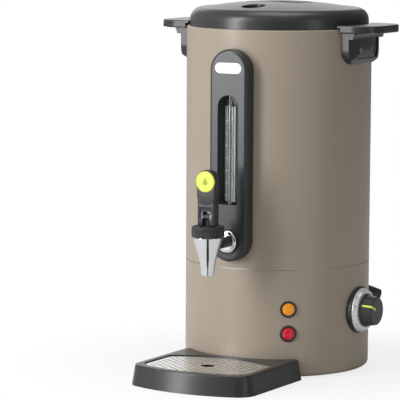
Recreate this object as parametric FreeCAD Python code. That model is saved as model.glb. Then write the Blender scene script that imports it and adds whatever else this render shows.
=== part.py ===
import FreeCAD
import Part
import math
import os
from FreeCAD import Vector

# Double-walled hot water urn. Millimetres, +Z up, origin on the floor on the urn's axis.
# The tap faces -Y and the thermostat knob is on +X.

# Fits
PLAY = 0.05
SLIP = 0.3
BITE = 0.5
PAST = 5.0

# Body
BODY_RADIUS = 116.0
SHEET = 0.8
BASE_EDGE_Z = 2.2
BASE_EDGE_ROUND = 5.0
SEAM_Z = 135.0
SEAM_GAP = 0.8
SEAM_LAP = 14.0
BODY_TOP_Z = 428.0
LIP_WIDTH = 9.0
LIP_ROUND = 1.6

# Tank
TANK_GAP = 11.2
TANK_RISE = 13.0
SHELF_WIDTH = 15.0
SHELF_SHEET = 1.2

# Screws and nuts
SCREW_RADIUS = 2.0
SCREW_HEAD_RADIUS = 4.0
SCREW_HEAD_THICK = 2.0
NUT_ACROSS = 7.0
NUT_THICK = 3.2

# Lid
LID_INSET = 3.6
LID_HEIGHT = 31.4
LID_SKIRT_HEIGHT = 9.0
LID_WALL = 2.5
LID_LEDGE = 1.0
CROWN_FLAT = 3.0
GRIP_LENGTH = 88.0
GRIP_WIDTH = 46.0
GRIP_DEPTH = 17.0
GRIP_BAR_WIDTH = 12.0
GRIP_BAR_THICK = 6.0
GRIP_BAR_ROUND = 1.5
VENT_RADIUS = 15.0
VENT_BORE = 6.0
VENT_AT_Y = -68.0
VENT_DROP = 9.1
VENT_CAP_THICK = 1.5
VENT_HOLE_RADIUS = 1.2
VENT_HOLE_RING = 3.3
PLUG_HEIGHT = 12.0
PLUG_GAP = 3.0
PLUG_WALL = 1.5
LID_GASKET_HEIGHT = 4.0
LID_BOSS_RADIUS = 4.0

# Handles
HANDLE_REACH = 38.4
HANDLE_HALF_WIDTH = 47.0
HANDLE_THICK = 9.4
HANDLE_RISE = 5.9
HANDLE_CORNER = 30.0
HANDLE_EDGE = 1.6
HANDLE_WALL = 5.0
HANDLE_HOLLOW = 3.0
HANDLE_LID_GAP = 2.8
HANDLE_NOTCH = 3.0
HANDLE_NOTCH_ROOF = 2.9
HANDLE_NECK_ROUND = 7.5
BRACKET_HALF_WIDTH = 42.0
BRACKET_THICK = 8.3
BRACKET_CURVE = 160.0
BRACKET_DROP = 42.5
BRACKET_ROLL = 19.0
BRACKET_CORNER = 18.0
BRACKET_RIM = 6.5
BRACKET_RECESS = 1.6
HANDLE_SCREW_SPACING = 27.0
HANDLE_SCREW_DROP = 25.0
HANDLE_SCREW_HEAD_RADIUS = 3.2
HANDLE_SCREW_SINK = 1.6
DRIVE_WIDTH = 1.0
DRIVE_LENGTH = 3.8
DRIVE_DEPTH = 0.9

# Sight tube
TUBE_RADIUS = 4.0
TUBE_WALL = 1.0
TUBE_SOCKET = 12.0
TUBE_CAP_THICK = 3.0
TUBE_CAP_HOLE = 0.8
SEAL_HEIGHT = 5.0
SEAL_WALL = 1.0
SCALE_LEFT = 6.8
SCALE_THICK = 0.6
SCALE_GAP = 0.2
SCALE_STEP = 15.2
SCALE_DOT_RADIUS = 1.2
SCALE_DOT_LEFT = 4.6
SCALE_DOT_PROUD = 0.25
SCALE_END_GAP = 3.0

# Tap
TAP_REACH = 61.0
SHANK_RISE = 22.3
SHANK_RADIUS = 7.0
SHANK_BORE = 4.0
SHANK_STUB = 16.0
SHANK_NUT_ACROSS = 22.0
SHANK_NUT_THICK = 7.0
WASHER_RADIUS = 11.5
WASHER_INNER_THICK = 4.0
WASHER_OUTER_THICK = 3.0
SPOUT_DROP = 35.7
SPOUT_RISE = 11.2
SPOUT_TOP_RADIUS = 18.5
SPOUT_LOW_RADIUS = 8.0
SPOUT_NECK_RADIUS = 8.6
SPOUT_NECK_HEIGHT = 8.4
SPOUT_BEND_RADIUS = 10.9
SPOUT_BEND_HEIGHT = 20.4
SPOUT_BEND_SAG = 0.3
SPOUT_WALL = 1.3
SPOUT_FLARE = 6.0
CHAMBER_RADIUS = 11.5
CHAMBER_DROP = 9.0
CHAMBER_CONE = 3.0
OUTLET_RADIUS = 5.5
COLLAR_RADIUS = 20.0
COLLAR_HEIGHT = 13.2
COLLAR_PLUG = 2.0
COLLAR_RIBS = 36
RIB_GROOVE = 0.7
STEM_RADIUS = 2.5
STEM_EYE_RADIUS = 4.0
PIN_RADIUS = 1.5
PIN_RISE = 11.0
PIN_PROUD = 0.4
CUP_HEIGHT = 7.0
CUP_SIDE_GAP = 2.5
CUP_CONE = 2.2
CUP_GAP = 0.15
SPRING_RADIUS = 6.5
SPRING_WIRE = 0.6
SPRING_TURNS = 5
FOOT_HALF_DEPTH = 6.0
LEVER_HALF_WIDTH = 12.5
FORK_GAP_HALF = 4.5
FORK_ROOF = 7.0
FORK_ROUND = 2.0
LEVER_TOP_RISE = 68.0
LEVER_STEP_RISE = 25.0
LEVER_STEP_LIP = 6.0
LEVER_STEP_SETBACK = 1.1
LEVER_PROUD = 0.5
LEVER_ROUND = 1.5
BADGE_RADIUS = 12.8
BADGE_THICK = 1.6
BADGE_SINK = 1.0
BADGE_STEP = 1.4
FLANGE_RADIUS = 13.7
FLANGE_THICK = 3.0
FLANGE_DOME = 4.0
GASKET_RADIUS = 15.6
GASKET_THICK = 1.2

# Gauge panel on the front
PANEL_HALF_WIDTH = 26.2
PANEL_LOW_DROP = 25.3
PANEL_TOP_DROP = 22.4
PANEL_EDGE_ROUND = 4.0
PANEL_FLOOR = 1.5
PANEL_WALL = 1.6
PANEL_BACK_LAP = 12.0
SLOT_HALF_WIDTH = 14.7
SLOT_FLOOR_HALF_WIDTH = 11.5
SLOT_FOOT_ROUND = 5.0
SLOT_LOW_RISE = 45.0
SLOT_TOP_DROP = 78.0
LABEL_LENGTH = 36.2
LABEL_HEIGHT = 12.8
LABEL_DROP = 45.3
LABEL_THICK = 0.8
LABEL_PROUD = 0.3
PANEL_SCREW_DROPS = (36.0, 58.0)
BLOCK_WALL = 0.8
BLOCK_SIDE = 4.0
BLOCK_BACK = 8.0

# Lamps and thermostat on the base
LAMP_AZIMUTH = 35.3
LAMP_Z = (86.9, 56.6)
LAMP_RADIUS = 7.7
LAMP_RIM = 2.9
LAMP_PROUD = 2.4
LAMP_SEAT = 3.0
LAMP_BODY_LENGTH = 24.0
LAMP_PIN_LENGTH = 7.0
KNOB_Z = 78.0
BEZEL_RADIUS = 29.0
BEZEL_PROUD = 4.0
BEZEL_RIM = 1.3
DIAL_SLOPE = 2.5
DIAL_EDGE = 1.6
DIAL_THICK = 6.0
KNOB_RADIUS = 19.5
KNOB_TAPER = 2.2
KNOB_RIM = 1.3
KNOB_RIM_THICK = 2.6
KNOB_LENGTH = 15.5
KNOB_END_WALL = 5.0
SHAFT_RADIUS = 3.0
BUSHING_RADIUS = 6.0
POINTER_WIDTH = 2.4
POINTER_PROUD = 0.4
POINTER_TURN = 25.0
POINTER_LEAD = 0.6
CASE_DEPTH = 30.0
CASE_HALF_WIDTH = 18.0
CASE_HALF_HEIGHT = 19.0
CASE_SET_BACK = 6.0

# Mains inlet gland, measured as an angle from the front towards the knob side
GLAND_AZIMUTH = 142.0
GLAND_Z = 87.0
GLAND_RADIUS = 12.0
GLAND_THREAD_RADIUS = 9.0
GLAND_FLANGE_THICK = 5.0
GLAND_NOSE = 26.0
GLAND_NOSE_WALL = 3.2
GLAND_NOSE_STEP = 2.5
GLAND_SLOPE = 16.0
GLAND_NUT_ACROSS = 22.0
GLAND_NUT_THICK = 4.0
CORD_BORE = 3.6

# Underside
FOOT_RADIUS = 10.0
FOOT_INSET = 32.0
FOOT_ROUND = 0.8
FOOT_STEM_RADIUS = 3.0
FOOT_BARB_RADIUS = 4.2
FOOT_BARB_HEIGHT = 2.5
PLATE_SHEET = 1.2
BASE_FLANGE = 14.0
BASE_SCREW_HEAD_RADIUS = 3.5
BASE_SCREW_HEAD_THICK = 1.4
BASE_SCREW_LENGTH = 5.0
AIR_SLOT_LENGTH = 36.0
AIR_SLOT_WIDTH = 4.0
AIR_SLOT_PITCH = 10.0
AIR_SLOT_AT_X = 38.0

# Heater under the tank
HEATER_RADIUS = 78.0
HEATER_THICK = 4.0
ELEMENT_RING = 55.0
ELEMENT_RADIUS = 4.0
ELEMENT_GAP = 30.0
ELEMENT_DROP = 14.0
ELEMENT_PIN_RADIUS = 1.6
ELEMENT_PIN_DROP = 22.0
CUTOUT_RADIUS = 8.5
CUTOUT_HEIGHT = 9.0
CUTOUT_AT_Y = 28.0
CUTOUT_TAG_X = 5.0
CUTOUT_TAG_DROP = 16.0
BULB_RADIUS = 3.0
BULB_X = 20.0
BULB_FRONT_Y = -34.0
BULB_BACK_Y = 10.0
CLIP_SHEET = 1.2
CLIP_FRONT_Y = -16.0
CLIP_BACK_Y = -8.0
CLIP_TAB = 7.0

# Wiring
CAPILLARY_RADIUS = 1.0
CAPILLARY_BEND = 6.0
CAPILLARY_RISE = 20.0
CAPILLARY_Y = -10.0
LEAD_RADIUS = 1.4
LEAD_BEND = 7.0
LEAD_PITCH = 10.0
TERMINAL_INSET = 60.0
TERMINAL_LENGTH = 32.0
TERMINAL_WIDTH = 18.0
TERMINAL_HEIGHT = 15.0
TERMINAL_BORE = 2.2

# Drip tray
TRAY_HALF_WIDTH = 84.0
TRAY_DRAFT = 4.0
TRAY_HEIGHT = 25.0
TRAY_FRONT_REACH = 66.0
TRAY_BACK_REACH = 91.0
TRAY_BOW = 195.0
TRAY_CORNER = 24.0
TRAY_BACK_CORNER = 4.0
TRAY_BACK_FLATNESS = 2000.0
TRAY_EDGE = 2.0
TRAY_WALL = 2.5
TRAY_GAP = 0.8
GRILLE_HALF_WIDTH = 72.0
GRILLE_FRONT_MARGIN = 15.0
GRILLE_BODY_MARGIN = 7.0
GRILLE_BACK_BOW = 140.0
GRILLE_CORNER = 22.0
GRILLE_BACK_CORNER = 12.0
GRILLE_THICK = 1.2
GRILLE_SINK = 1.5
GRILLE_LAP = 0.4
GRILLE_LEDGE = 8.0
GRILLE_RIM = 6.5
GRILLE_HOLE_RADIUS = 9.0
SLOT_PITCH_X = 9.4
SLOT_PITCH_Y = 12.5
SLOT_LENGTH = 7.5
SLOT_WIDTH = 3.0

PARTS = "parts"
UP = Vector(0, 0, 1)
ALONG_X = Vector(1, 0, 0)
ALONG_Y = Vector(0, 1, 0)

LIP_TOP_Z = BODY_TOP_Z + SHEET
JACKET_INNER = BODY_RADIUS - SHEET
TANK_OUTER = JACKET_INNER - TANK_GAP
TANK_INNER = TANK_OUTER - SHEET
LID_RADIUS = BODY_RADIUS - LID_INSET
MOUTH_RADIUS = BODY_RADIUS - LIP_ROUND - LIP_WIDTH
PLUG_RADIUS = min(TANK_INNER, MOUTH_RADIUS) - PLUG_GAP
TANK_FLOOR_Z = SEAM_Z + TANK_RISE
SHANK_Z = TANK_FLOOR_Z + SHANK_RISE
TAP_Y = -(BODY_RADIUS + TAP_REACH)
SPOUT_LOW_Z = SHANK_Z - SPOUT_DROP
SPOUT_TOP_Z = SHANK_Z + SPOUT_RISE
CHAMBER_LOW_Z = SHANK_Z - CHAMBER_DROP
COLLAR_TOP_Z = SPOUT_TOP_Z + COLLAR_HEIGHT
PIN_Z = COLLAR_TOP_Z + PIN_RISE
LEVER_LOW_Z = COLLAR_TOP_Z + SLIP
LEVER_FACE_Y = TAP_Y - FOOT_HALF_DEPTH - LEVER_PROUD
TUBE_Y = -(BODY_RADIUS + PANEL_FLOOR + SCALE_THICK + SCALE_GAP + TUBE_RADIUS)
BLOCK_FACE_Y = TUBE_Y - TUBE_RADIUS - SEAL_WALL - BLOCK_WALL
PANEL_FACE_Y = BLOCK_FACE_Y - SLIP - PANEL_WALL
PANEL_LOW_Z = SHANK_Z - PANEL_LOW_DROP
PANEL_TOP_Z = BODY_TOP_Z - PANEL_TOP_DROP
SLOT_FLOOR_Y = -(BODY_RADIUS + PANEL_FLOOR)
SLOT_LOW_Z = SHANK_Z + SLOT_LOW_RISE
SLOT_TOP_Z = BODY_TOP_Z - SLOT_TOP_DROP
SEAL_LOW_Z = SLOT_LOW_Z - BLOCK_SIDE - SEAL_HEIGHT
LABEL_Z = BODY_TOP_Z - LABEL_DROP
PANEL_SCREW_Z = [BODY_TOP_Z - drop for drop in PANEL_SCREW_DROPS]
HANDLE_SCREW_Z = BODY_TOP_Z - HANDLE_SCREW_DROP
HANDLE_TOP_Z = BODY_TOP_Z + HANDLE_RISE
HANDLE_LOW_Z = HANDLE_TOP_Z - HANDLE_THICK
BRACKET_FACE_X = BODY_RADIUS + BRACKET_THICK
DIAL_RADIUS = BEZEL_RADIUS - BEZEL_RIM
DIAL_BACK_X = BODY_RADIUS + BEZEL_PROUD
KNOB_BACK_X = DIAL_BACK_X + DIAL_THICK + SLIP
KNOB_END_RADIUS = KNOB_RADIUS - KNOB_TAPER
LAMP_BEZEL_RADIUS = LAMP_RADIUS + LAMP_RIM
FOOT_RING = BODY_RADIUS - FOOT_INSET
PLATE_LOW_Z = BASE_EDGE_Z + SHEET
PLATE_TOP_Z = PLATE_LOW_Z + PLATE_SHEET
HEATER_LOW_Z = TANK_FLOOR_Z - HEATER_THICK
ELEMENT_Z = HEATER_LOW_Z - ELEMENT_RADIUS
BULB_Z = HEATER_LOW_Z - BULB_RADIUS
CASE_X = BODY_RADIUS - CASE_SET_BACK - CASE_DEPTH / 2
TRAY_FRONT_Y = TAP_Y - TRAY_FRONT_REACH
TRAY_BACK_Y = TAP_Y + TRAY_BACK_REACH
GRILLE_FRONT_Y = TRAY_FRONT_Y + GRILLE_FRONT_MARGIN
GRILLE_BACK_Y = -(BODY_RADIUS + GRILLE_BODY_MARGIN)
GRILLE_BOW = TRAY_BOW - GRILLE_FRONT_MARGIN
GRILLE_LOW_Z = TRAY_HEIGHT - GRILLE_SINK - GRILLE_THICK


def save(node, shape):
    shape.exportStep(os.path.join(PARTS, node + ".step"))


def disc(radius, low, high, x=0.0, y=0.0):
    return Part.makeCylinder(radius, high - low, Vector(x, y, low), UP)


def ring(outer, inner, low, high, x=0.0, y=0.0):
    return disc(outer, low, high, x, y).cut(disc(inner, low - 1, high + 1, x, y))


def rod(radius, start, end):
    line = end.sub(start)
    return Part.makeCylinder(radius, line.Length, start, line)


def block(x0, x1, y0, y1, z0, z1):
    return Part.makeBox(x1 - x0, y1 - y0, z1 - z0, Vector(x0, y0, z0))


def outline_face(outline):
    """Face in the XZ plane inside a closed outline of (x, z) points; a point of three parts,
    (mid x, mid z, end), makes an arc."""
    start = Vector(outline[0][0], 0, outline[0][1])
    edges = []
    here = start
    for item in outline[1:] + [outline[0]]:
        if len(item) == 3:
            through = Vector(item[0], 0, item[1])
            there = Vector(item[2][0], 0, item[2][1])
            edges.append(Part.Arc(here, through, there).toShape())
        else:
            there = Vector(item[0], 0, item[1])
            if there.sub(here).Length < 1e-6:
                continue
            edges.append(Part.LineSegment(here, there).toShape())
        here = there
    return Part.Face(Part.Wire(edges))


def lathe(outline):
    """Turn a closed outline of (radius, z) points about the axis."""
    return outline_face(outline).revolve(Vector(0, 0, 0), UP, 360)


def rounded_rectangle(x0, x1, y0, y1, z, radii):
    """A wire at height z; radii are those of the corners at (x0,y0), (x1,y0), (x1,y1), (x0,y1)."""
    corners = [(x0, y0), (x1, y0), (x1, y1), (x0, y1)]
    ways = [((0, 1), (1, 0)), ((-1, 0), (0, 1)), ((0, -1), (-1, 0)), ((1, 0), (0, -1))]
    edges = []
    points = []
    for (cx, cy), (before, after), radius in zip(corners, ways, radii):
        first = Vector(cx + before[0] * radius, cy + before[1] * radius, z)
        last = Vector(cx + after[0] * radius, cy + after[1] * radius, z)
        centre = Vector(cx + (before[0] + after[0]) * radius, cy + (before[1] + after[1]) * radius, z)
        outward = Vector(cx, cy, z).sub(centre)
        outward.normalize()
        points.append((first, centre.add(outward.multiply(radius)), last))
    for number, (first, middle, last) in enumerate(points):
        edges.append(Part.Arc(first, middle, last).toShape())
        following = points[(number + 1) % 4][0]
        if following.sub(last).Length > 1e-6:
            edges.append(Part.LineSegment(last, following).toShape())
    return Part.Wire(edges)


def rounded_slab(x0, x1, y0, y1, z0, z1, radius):
    wire = rounded_rectangle(x0, x1, y0, y1, z0, [radius] * 4)
    return Part.Face(wire).extrude(Vector(0, 0, z1 - z0))


def upright_slab(half_width, low, high, y0, y1, radius, x=0.0):
    """A slab with rounded corners that stands in the XZ plane, from y0 to y1."""
    slab = rounded_slab(x - half_width, x + half_width, low, high, 0, y1 - y0, radius)
    slab.rotate(Vector(0, 0, 0), ALONG_X, 90)
    slab.translate(Vector(0, y1, 0))
    return slab


def turned_to(azimuth, shape):
    """Turn a shape built on +X to an azimuth counted from the front towards +X."""
    shape.rotate(Vector(0, 0, 0), UP, azimuth - 90.0)
    return shape


def hexagon(across, low, high):
    corner = across / math.sqrt(3.0)
    points = []
    for number in range(7):
        angle = math.radians(60.0 * number)
        points.append(Vector(corner * math.cos(angle), corner * math.sin(angle), low))
    return Part.Face(Part.makePolygon(points)).extrude(Vector(0, 0, high - low))


def laid_along_x(shape, y=0.0, z=0.0):
    """Turn a shape built on the Z axis so that its axis lies along +X."""
    shape.rotate(Vector(0, 0, 0), ALONG_Y, 90)
    shape.translate(Vector(0, y, z))
    return shape


def laid_to_front(shape, x=0.0, z=0.0):
    """Turn a shape built on the Z axis so that its top points to -Y."""
    shape.rotate(Vector(0, 0, 0), ALONG_X, 90)
    shape.translate(Vector(x, 0, z))
    return shape


def routed_tube(points, radius, bend):
    """A round lead along straight runs with arcs of one bend radius at the corners."""
    edges = []
    here = points[0]
    for number in range(1, len(points) - 1):
        corner = points[number]
        back = points[number - 1].sub(corner)
        ahead = points[number + 1].sub(corner)
        back.normalize()
        ahead.normalize()
        half = back.getAngle(ahead) / 2.0
        reach = bend / math.tan(half)
        first = corner.add(Vector(back).multiply(reach))
        last = corner.add(Vector(ahead).multiply(reach))
        middle_way = back.add(ahead)
        middle_way.normalize()
        centre = corner.add(Vector(middle_way).multiply(bend / math.sin(half)))
        middle = centre.sub(Vector(middle_way).multiply(bend))
        edges.append(Part.LineSegment(here, first).toShape())
        edges.append(Part.Arc(first, middle, last).toShape())
        here = last
    edges.append(Part.LineSegment(here, points[-1]).toShape())
    path = Part.Wire(edges)
    way = points[1].sub(points[0])
    section = Part.Wire([Part.Circle(points[0], way, radius).toShape()])
    return path.makePipeShell([section], True, False)


# Openings in the walls, cut by the pieces that pass through

def shank_hole(clearance):
    start = Vector(0, PANEL_FACE_Y - PAST, SHANK_Z)
    return rod(SHANK_RADIUS + clearance, start, Vector(0, -TANK_INNER + SHANK_STUB + PAST, SHANK_Z))


def handle_screw_turns():
    half_angle = math.degrees(math.asin(HANDLE_SCREW_SPACING / 2.0 / BODY_RADIUS))
    return (-half_angle, half_angle)


def handle_screw_places():
    return [side + offset for side in (90.0, 270.0) for offset in handle_screw_turns()]


def wall_hole(radius, height):
    """A rod on +X that passes through the wall of the base or the jacket."""
    return rod(radius, Vector(JACKET_INNER - PAST, 0, height), Vector(BODY_RADIUS + PAST, 0, height))


def make_base_shell():
    outer = BODY_RADIUS
    inner = BODY_RADIUS - SHEET
    low = BASE_EDGE_Z
    curve = BASE_EDGE_ROUND
    slant = 1.0 - math.sqrt(0.5)
    thin = curve - SHEET
    shell = lathe([
        (outer, SEAM_Z),
        (outer, low + curve),
        (outer - curve * slant, low + curve * slant, (outer - curve, low)),
        (outer - curve - BASE_FLANGE, low),
        (outer - curve - BASE_FLANGE, low + SHEET),
        (outer - curve, low + SHEET),
        (inner - thin * slant, low + SHEET + thin * slant, (inner, low + curve)),
        (inner, SEAM_Z),
    ])
    for height in LAMP_Z:
        shell = shell.cut(turned_to(LAMP_AZIMUTH, wall_hole(LAMP_RADIUS + SLIP, height)))
    shell = shell.cut(wall_hole(BUSHING_RADIUS + SLIP, KNOB_Z))
    shell = shell.cut(turned_to(GLAND_AZIMUTH, wall_hole(GLAND_THREAD_RADIUS + SLIP, GLAND_Z)))
    for place in base_screw_places():
        shell = shell.cut(disc(SCREW_RADIUS + SLIP, low - 1, low + SHEET + 1, place[0], place[1]))
    return shell


def make_outer_jacket():
    outer = BODY_RADIUS
    inner = JACKET_INNER
    curve = LIP_ROUND
    slant = 1.0 - math.sqrt(0.5)
    thin = curve - SHEET
    low = SEAM_Z + SEAM_GAP
    jacket = lathe([
        (outer, low),
        (outer, LIP_TOP_Z - curve),
        (outer - curve * slant, LIP_TOP_Z - curve * slant, (outer - curve, LIP_TOP_Z)),
        (outer - curve - LIP_WIDTH, LIP_TOP_Z),
        (outer - curve - LIP_WIDTH, BODY_TOP_Z),
        (outer - curve, BODY_TOP_Z),
        (inner - thin * slant, BODY_TOP_Z - thin * slant, (inner, BODY_TOP_Z - thin)),
        (inner, low),
    ])
    jacket = jacket.cut(shank_hole(SLIP))
    for azimuth in handle_screw_places():
        jacket = jacket.cut(turned_to(azimuth, wall_hole(SCREW_RADIUS + SLIP, HANDLE_SCREW_Z)))
    for height in PANEL_SCREW_Z:
        jacket = jacket.cut(turned_to(0.0, wall_hole(SCREW_RADIUS + SLIP, height)))
    return jacket


def make_seam_ring():
    """The hidden ring that joins base and jacket; its rib closes the seam and its shelf carries the tank."""
    outer = JACKET_INNER - SLIP
    band = outer - SHEET
    shelf_top = TANK_FLOOR_Z
    return lathe([
        (outer, SEAM_Z - SEAM_LAP),
        (outer, SEAM_Z),
        (JACKET_INNER, SEAM_Z),
        (JACKET_INNER, SEAM_Z + SEAM_GAP),
        (outer, SEAM_Z + SEAM_GAP),
        (outer, shelf_top),
        (band - SHELF_WIDTH, shelf_top),
        (band - SHELF_WIDTH, shelf_top - SHELF_SHEET),
        (band, shelf_top - SHELF_SHEET),
        (band, SEAM_Z - SEAM_LAP),
    ])


def make_inner_tank():
    rim = BODY_TOP_Z
    flange = JACKET_INNER - LIP_ROUND
    tank = lathe([
        (0, TANK_FLOOR_Z),
        (TANK_OUTER, TANK_FLOOR_Z),
        (TANK_OUTER, rim - SHEET),
        (flange, rim - SHEET),
        (flange, rim),
        (TANK_INNER, rim),
        (TANK_INNER, TANK_FLOOR_Z + SHEET),
        (0, TANK_FLOOR_Z + SHEET),
    ])
    return tank.cut(shank_hole(SLIP))


def dome_outline(inset):
    """Outer line of the lid, or a parallel one set in by a wall, from rim to crown."""
    top = LIP_TOP_Z + LID_HEIGHT - inset
    skirt_top = LIP_TOP_Z + LID_SKIRT_HEIGHT - inset * 0.3
    radius = LID_RADIUS - inset
    shoulder_radius = radius * 0.835
    shoulder_top = top - LID_HEIGHT * 0.26
    return [
        (radius * 0.996, skirt_top),
        (radius * 0.958, (skirt_top + shoulder_top) / 2 + 2.9, (shoulder_radius, shoulder_top)),
        (radius * 0.45, top - LID_HEIGHT * 0.075, (CROWN_FLAT, top)),
        (0, top),
    ]


def grip_outline(inset, low, high):
    half_length = GRIP_LENGTH / 2.0 - inset
    half_width = GRIP_WIDTH / 2.0 - inset
    return rounded_slab(-half_length, half_length, -half_width, half_width, low, high, half_width - 0.01)


def make_lid_shell():
    base = LIP_TOP_Z
    crown = LIP_TOP_Z + LID_HEIGHT
    outside = dome_outline(0.0)
    inside = dome_outline(LID_WALL)
    solid = lathe([(0, base), (LID_RADIUS, base)] + outside)
    hollow = lathe([(0, base - 1), (LID_RADIUS - LID_WALL, base - 1)] + inside)
    shell = solid.cut(hollow)
    pocket_floor = crown - GRIP_DEPTH
    cup = grip_outline(-LID_WALL, pocket_floor - LID_WALL, crown).common(solid)
    vent_floor = crown - VENT_DROP
    well = disc(VENT_RADIUS + LID_WALL, vent_floor - LID_WALL, crown, 0, VENT_AT_Y).common(solid)
    shell = shell.fuse([cup, well])
    pocket = grip_outline(0.0, pocket_floor, crown + PAST)
    bar = block(-GRIP_LENGTH / 2 - 1, GRIP_LENGTH / 2 + 1, -GRIP_BAR_WIDTH / 2, GRIP_BAR_WIDTH / 2,
                crown - GRIP_BAR_THICK, crown + PAST)
    bar = bar.makeFillet(GRIP_BAR_ROUND, [edge for edge in bar.Edges if edge.BoundBox.XLength > GRIP_LENGTH])
    shell = shell.cut(pocket.cut(bar))
    shell = shell.cut(disc(VENT_RADIUS, vent_floor, crown + PAST, 0, VENT_AT_Y))
    shell = shell.cut(disc(VENT_BORE, vent_floor - 2 * PAST, crown, 0, VENT_AT_Y))
    for place in lid_screw_places():
        boss = disc(LID_BOSS_RADIUS, base + SHEET + LID_LEDGE, crown, place[0], place[1]).common(solid)
        shell = shell.fuse(boss)
        shell = shell.cut(disc(SCREW_RADIUS + PLAY, base - 1, base + LID_SKIRT_HEIGHT + 1, place[0], place[1]))
    return shell.removeSplitter()


def lid_screw_ring():
    return PLUG_RADIUS - PLUG_WALL - 2 * LID_BOSS_RADIUS


def lid_screw_places():
    places = []
    for number in range(4):
        angle = math.radians(45 + 90 * number)
        places.append((lid_screw_ring() * math.cos(angle), lid_screw_ring() * math.sin(angle)))
    return places


def make_lid_plate():
    """The plate that closes the underside of the lid, with the plug that centres it in the tank."""
    top = LIP_TOP_Z + SHEET + LID_LEDGE
    outer = LID_RADIUS - LID_WALL - SLIP
    plug = PLUG_RADIUS
    low = LIP_TOP_Z - PLUG_HEIGHT
    plate = lathe([
        (0, low),
        (plug, low),
        (plug, LIP_TOP_Z),
        (outer, LIP_TOP_Z),
        (outer, top),
        (plug - PLUG_WALL, top),
        (plug - PLUG_WALL, low + PLUG_WALL),
        (0, low + PLUG_WALL),
    ])
    plate = plate.cut(disc(VENT_BORE, low - 1, top + 1, 0, VENT_AT_Y))
    ledge = ring(plug - PLUG_WALL, lid_screw_ring() - LID_BOSS_RADIUS * 2, top - PLUG_WALL, top)
    plate = plate.fuse(ledge)
    for place in lid_screw_places():
        plate = plate.cut(disc(SCREW_RADIUS + SLIP, low + PLUG_WALL, top + 1, place[0], place[1]))
        plate = plate.cut(disc(SCREW_HEAD_RADIUS + SLIP, low - 1, low + PLUG_WALL + 1, place[0], place[1]))
    return plate.removeSplitter()


def make_lid_screws():
    seat = LIP_TOP_Z + SHEET + LID_LEDGE - PLUG_WALL
    screws = []
    for place in lid_screw_places():
        head = disc(SCREW_HEAD_RADIUS, seat - SCREW_HEAD_THICK, seat, place[0], place[1])
        shank = disc(SCREW_RADIUS, seat - BITE, LIP_TOP_Z + LID_SKIRT_HEIGHT, place[0], place[1])
        screws.append(head.fuse(shank))
    return Part.makeCompound(screws)


def make_lid_gasket():
    low = LIP_TOP_Z - PLUG_HEIGHT + LID_GASKET_HEIGHT
    return ring(PLUG_RADIUS + PLUG_GAP - SLIP, PLUG_RADIUS, low, low + LID_GASKET_HEIGHT)


def make_vent_cap():
    floor = LIP_TOP_Z + LID_HEIGHT - VENT_DROP
    cap = disc(VENT_RADIUS - SLIP, floor, floor + VENT_CAP_THICK, 0, VENT_AT_Y)
    stub = disc(VENT_BORE - PLAY, floor - 2 * VENT_CAP_THICK, floor + BITE, 0, VENT_AT_Y)
    cap = cap.fuse(stub)
    for number in range(5):
        angle = math.radians(72 * number + 90)
        x = VENT_HOLE_RING * math.cos(angle)
        y = VENT_AT_Y + VENT_HOLE_RING * math.sin(angle)
        cap = cap.cut(disc(VENT_HOLE_RADIUS, floor - PAST, floor + PAST, x, y))
    return cap


def make_handle():
    """The handle on +X: a flat grip with a bracket down the jacket."""
    top = HANDLE_TOP_Z
    low = HANDLE_LOW_Z
    end = BODY_RADIUS + HANDLE_REACH
    back = BODY_RADIUS - 2 * BRACKET_HALF_WIDTH
    half = HANDLE_HALF_WIDTH
    grip = rounded_slab(back, end, -half, half, low, top, HANDLE_CORNER)
    rims = [edge for edge in grip.Edges if edge.BoundBox.ZLength < 0.001]
    grip = grip.makeFillet(HANDLE_EDGE, rims)
    hollow = rounded_slab(BRACKET_FACE_X + HANDLE_NECK_ROUND, end - HANDLE_WALL, -half + HANDLE_WALL,
                          half - HANDLE_WALL, low - 1, low + HANDLE_HOLLOW, HANDLE_NECK_ROUND)
    handle = grip.cut(hollow).fuse(bracket_solid(0.0, 0.0, low + BITE))
    shallow = bracket_solid(BRACKET_RIM, BRACKET_RECESS, low - BRACKET_RIM)
    field = bracket_slab(BRACKET_RIM, low - BRACKET_RIM)
    handle = handle.cut(field.cut(shallow))
    handle = handle.cut(disc(BODY_RADIUS + PLAY, low - 2 * BRACKET_DROP, LIP_TOP_Z))
    notch_top = top - HANDLE_NOTCH_ROOF
    handle = handle.cut(disc(BODY_RADIUS + HANDLE_NOTCH, low, notch_top))
    handle = handle.cut(disc(LID_RADIUS + HANDLE_LID_GAP, low, top + 1))
    handle = handle.cut(block(-end, BODY_RADIUS / 2, -end, end, 0, top + 1))
    for offset in handle_screw_turns():
        height = HANDLE_SCREW_Z
        hole = rod(SCREW_RADIUS + SLIP, Vector(JACKET_INNER, 0, height), Vector(end, 0, height))
        seat = rod(HANDLE_SCREW_HEAD_RADIUS + SLIP, Vector(screw_seat(), 0, height), Vector(end, 0, height))
        handle = handle.cut(turned_to(90 + offset, hole.fuse(seat)))
    return handle.removeSplitter()


def bracket_slab(inset, top):
    """Upright slab of the bracket's outline, with its two lower corners round."""
    low = BODY_TOP_Z - BRACKET_DROP + inset
    half = BRACKET_HALF_WIDTH - inset
    corner = BRACKET_CORNER - inset
    wire = rounded_rectangle(low, top, -half, half, BODY_RADIUS / 2, [corner, 0.01, 0.01, corner])
    return upright_in_x(Part.Face(wire).extrude(Vector(0, 0, BODY_RADIUS)))


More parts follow.
